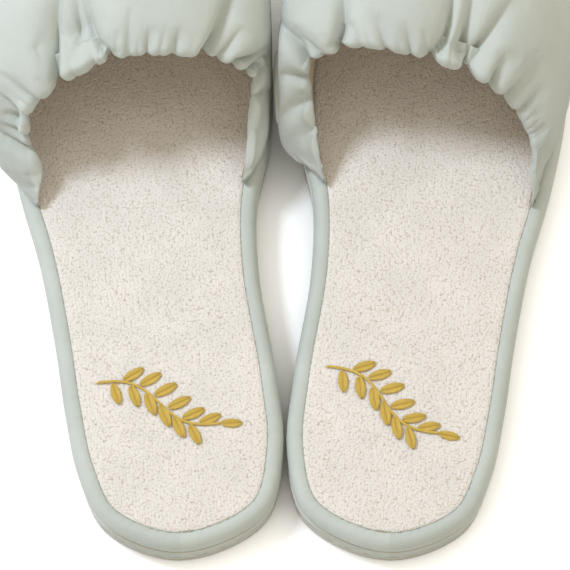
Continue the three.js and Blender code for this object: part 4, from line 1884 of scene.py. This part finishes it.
FINISHES = {
    Role.SATIN: Woven("sage satin", (0.625, 0.672, 0.64), (0.57, 0.615, 0.583), roughness=0.46, sheen=0.06,
                      specular=0.42, tone_scale=22.0, grain=0.1),
    Role.BINDING: Woven("sage binding", (0.595, 0.643, 0.612), (0.53, 0.575, 0.545), roughness=0.5,
                        sheen=0.06,
                        specular=0.42, tone_scale=30.0, grain=0.1),
    Role.TERRY: Pile("cream terry", (0.86, 0.82, 0.79), (0.80, 0.765, 0.735), roughness=0.95, sheen=0.05,
                     specular=0.1, tone_scale=60.0, grain=0.2),
    # The lining's darker colour for its weave gaps is painted shade.
    Role.LINING: Woven("pale lining", (0.87, 0.76, 0.6), (0.81, 0.7, 0.545), roughness=0.75, sheen=0.05,
                       specular=0.25, threads=1600.0, painted_gap_shade=(0.3, 0.24, 0.18)),
    Role.WADDING: Cellular("white wadding", (0.85, 0.84, 0.8), (0.75, 0.74, 0.7), roughness=0.98, cells=900.0,
                           depth=0.0003),
    Role.ELASTIC: Woven("woven elastic", (0.8, 0.79, 0.76), (0.7, 0.69, 0.66), roughness=0.8,
                        threads=900.0, depth=0.0002),
    Role.FOAM: Cellular("pale foam", (0.8, 0.79, 0.74), (0.72, 0.7, 0.64), roughness=0.95, cells=1300.0),
    # The board's darker colour for its pores is painted shade.
    Role.BOARD: Cellular("fibre board", (0.55, 0.46, 0.35), (0.45, 0.37, 0.28), roughness=0.9, cells=2600.0,
                         depth=0.00004, painted_pit_shade=(0.3, 0.24, 0.18)),
    Role.PIPING: Woven("pale piping", (0.68, 0.69, 0.64), (0.6, 0.615, 0.56), roughness=0.55, sheen=0.2,
                       threads=1400.0),
    Role.OUTSOLE: Cellular("pale outsole", (0.66, 0.66, 0.61), (0.57, 0.57, 0.52), roughness=0.7,
                           cells=2200.0,
                           depth=0.00005, specular=0.35),
    Role.SEWING_THREAD: Spun("sage thread", (0.6, 0.63, 0.56), (0.5, 0.53, 0.46), roughness=0.55, sheen=0.2,
                             shade=(0.25, 0.28, 0.22)),
    Role.GOLD_THREAD: Spun("gold thread", (0.93, 0.72, 0.2), (0.78, 0.56, 0.11), roughness=0.36, metallic=0.3,
                           specular=0.6, shade=(0.45, 0.28, 0.05), tone_scale=200.0),
    Role.FLOOR: Backdrop("pale floor", (0.9, 0.9, 0.9), (0.88, 0.88, 0.88), roughness=0.9, tone_scale=3.0,
                         grain=0.0),
}


class Wardrobe:
    """All the finishes, each made once."""

    def __init__(self) -> None:
        """Makes the shared groups and the materials."""
        tools = Tools(cloudy_tone(), woven_threads(), loop_pile())
        self._made = {role: finish.build(tools) for role, finish in FINISHES.items()}

    def put(self, obj: bpy.types.Object, role: Role) -> None:
        """Gives a piece its finish."""
        obj.data.materials.clear()
        obj.data.materials.append(self._made[role])


# --------------------------------------------------------------------------------------------------
# Studio
# --------------------------------------------------------------------------------------------------


@dataclass
class Studio:
    """Floor, soft lights and camera."""

    target: tuple[float, float, float] = (0.0, -0.0286, 0.0)
    distance: float = 0.9
    elevation: float = 66.0
    lens: float = 162.6
    floor_size: float = 6.0
    sky: float = 0.67
    sky_tint: Colour = (1.0, 0.925, 0.78)
    key_power: float = 9.2
    key_size: float = 0.26
    key_tint: Colour = (0.78, 0.87, 1.0)
    key_place: tuple[float, float, float] = (-0.70, 0.27, 1.0)
    fill_power: float = 1.7
    fill_size: float = 0.8
    fill_place: tuple[float, float, float] = (0.75, 0.15, 1.0)

    def lamp(self, name: str, place: Sequence[float], power: float, size: float, tint: Colour) -> None:
        """Adds a soft square light that looks at the slippers.

        Args:
            name: what the light is called.
            place: where it stands, in metres.
            power: how bright it is, in watts.
            size: its side, in metres.
            tint: its colour.
        """
        data = bpy.data.lights.new(name, "AREA")
        data.color = tint
        data.energy = power
        data.size = size
        obj = bpy.data.objects.new(name, data)
        obj.location = place
        aim = Vector((0.0, 0.0, 0.02)) - Vector(place)
        obj.rotation_euler = aim.to_track_quat("-Z", "Y").to_euler()
        bpy.context.scene.collection.objects.link(obj)

    def build(self, materials: Wardrobe) -> None:
        """Sets the whole studio up.

        Args:
            materials: the finishes.
        """
        scene = bpy.context.scene
        scene.view_settings.view_transform = "Standard"
        back = Vector((0.0, -math.cos(math.radians(self.elevation)), math.sin(math.radians(self.elevation))))
        data = bpy.data.cameras.new("camera")
        data.lens = self.lens
        data.sensor_width = 36.0
        camera = bpy.data.objects.new("camera", data)
        camera.location = Vector(self.target) + back * self.distance
        camera.rotation_euler = (-back).to_track_quat("-Z", "Y").to_euler()
        scene.collection.objects.link(camera)
        scene.camera = camera
        world = bpy.data.worlds.new("daylight")
        scene.world = world
        world.use_nodes = True
        world.node_tree.nodes["Background"].inputs["Color"].default_value = (*self.sky_tint, 1.0)
        world.node_tree.nodes["Background"].inputs["Strength"].default_value = self.sky
        self.lamp("key", self.key_place, self.key_power, self.key_size, self.key_tint)
        self.lamp("fill", self.fill_place, self.fill_power, self.fill_size, self.sky_tint)
        half = self.floor_size / 2
        mesh = bpy.data.meshes.new("floor")
        corners = [(-half, -half, 0.0), (half, -half, 0.0), (half, half, 0.0), (-half, half, 0.0)]
        mesh.from_pydata(corners, [], [(0, 1, 2, 3)])
        mesh.uv_layers.new(name="cloth")
        floor = bpy.data.objects.new("floor", mesh)
        scene.collection.objects.link(floor)
        materials.put(floor, Role.FLOOR)


# --------------------------------------------------------------------------------------------------
# Slippers
# --------------------------------------------------------------------------------------------------


@dataclass
class Slipper:
    """One slipper of the pair."""

    side: Side

    def build(self, materials: Wardrobe) -> None:
        """Makes its pieces from the floor up.

        Args:
            materials: the finishes.
        """
        place = Place.of(self.side)
        kinds = (Outsole, Platform, Footbed, Border, Upper, Sprig)
        for part in [kind(place) for kind in kinds]:
            made = part.build(materials)
            for obj in made if isinstance(made, list) else [made]:
                LOG.info("%s: %d faces", obj.name, len(obj.data.polygons))


def main() -> None:
    """Makes the studio and both slippers."""
    logging.basicConfig(level=logging.INFO, format="%(message)s")
    materials = Wardrobe()
    Studio().build(materials)
    for side in Side:
        Slipper(side).build(materials)


if __name__ == "__main__":
    main()
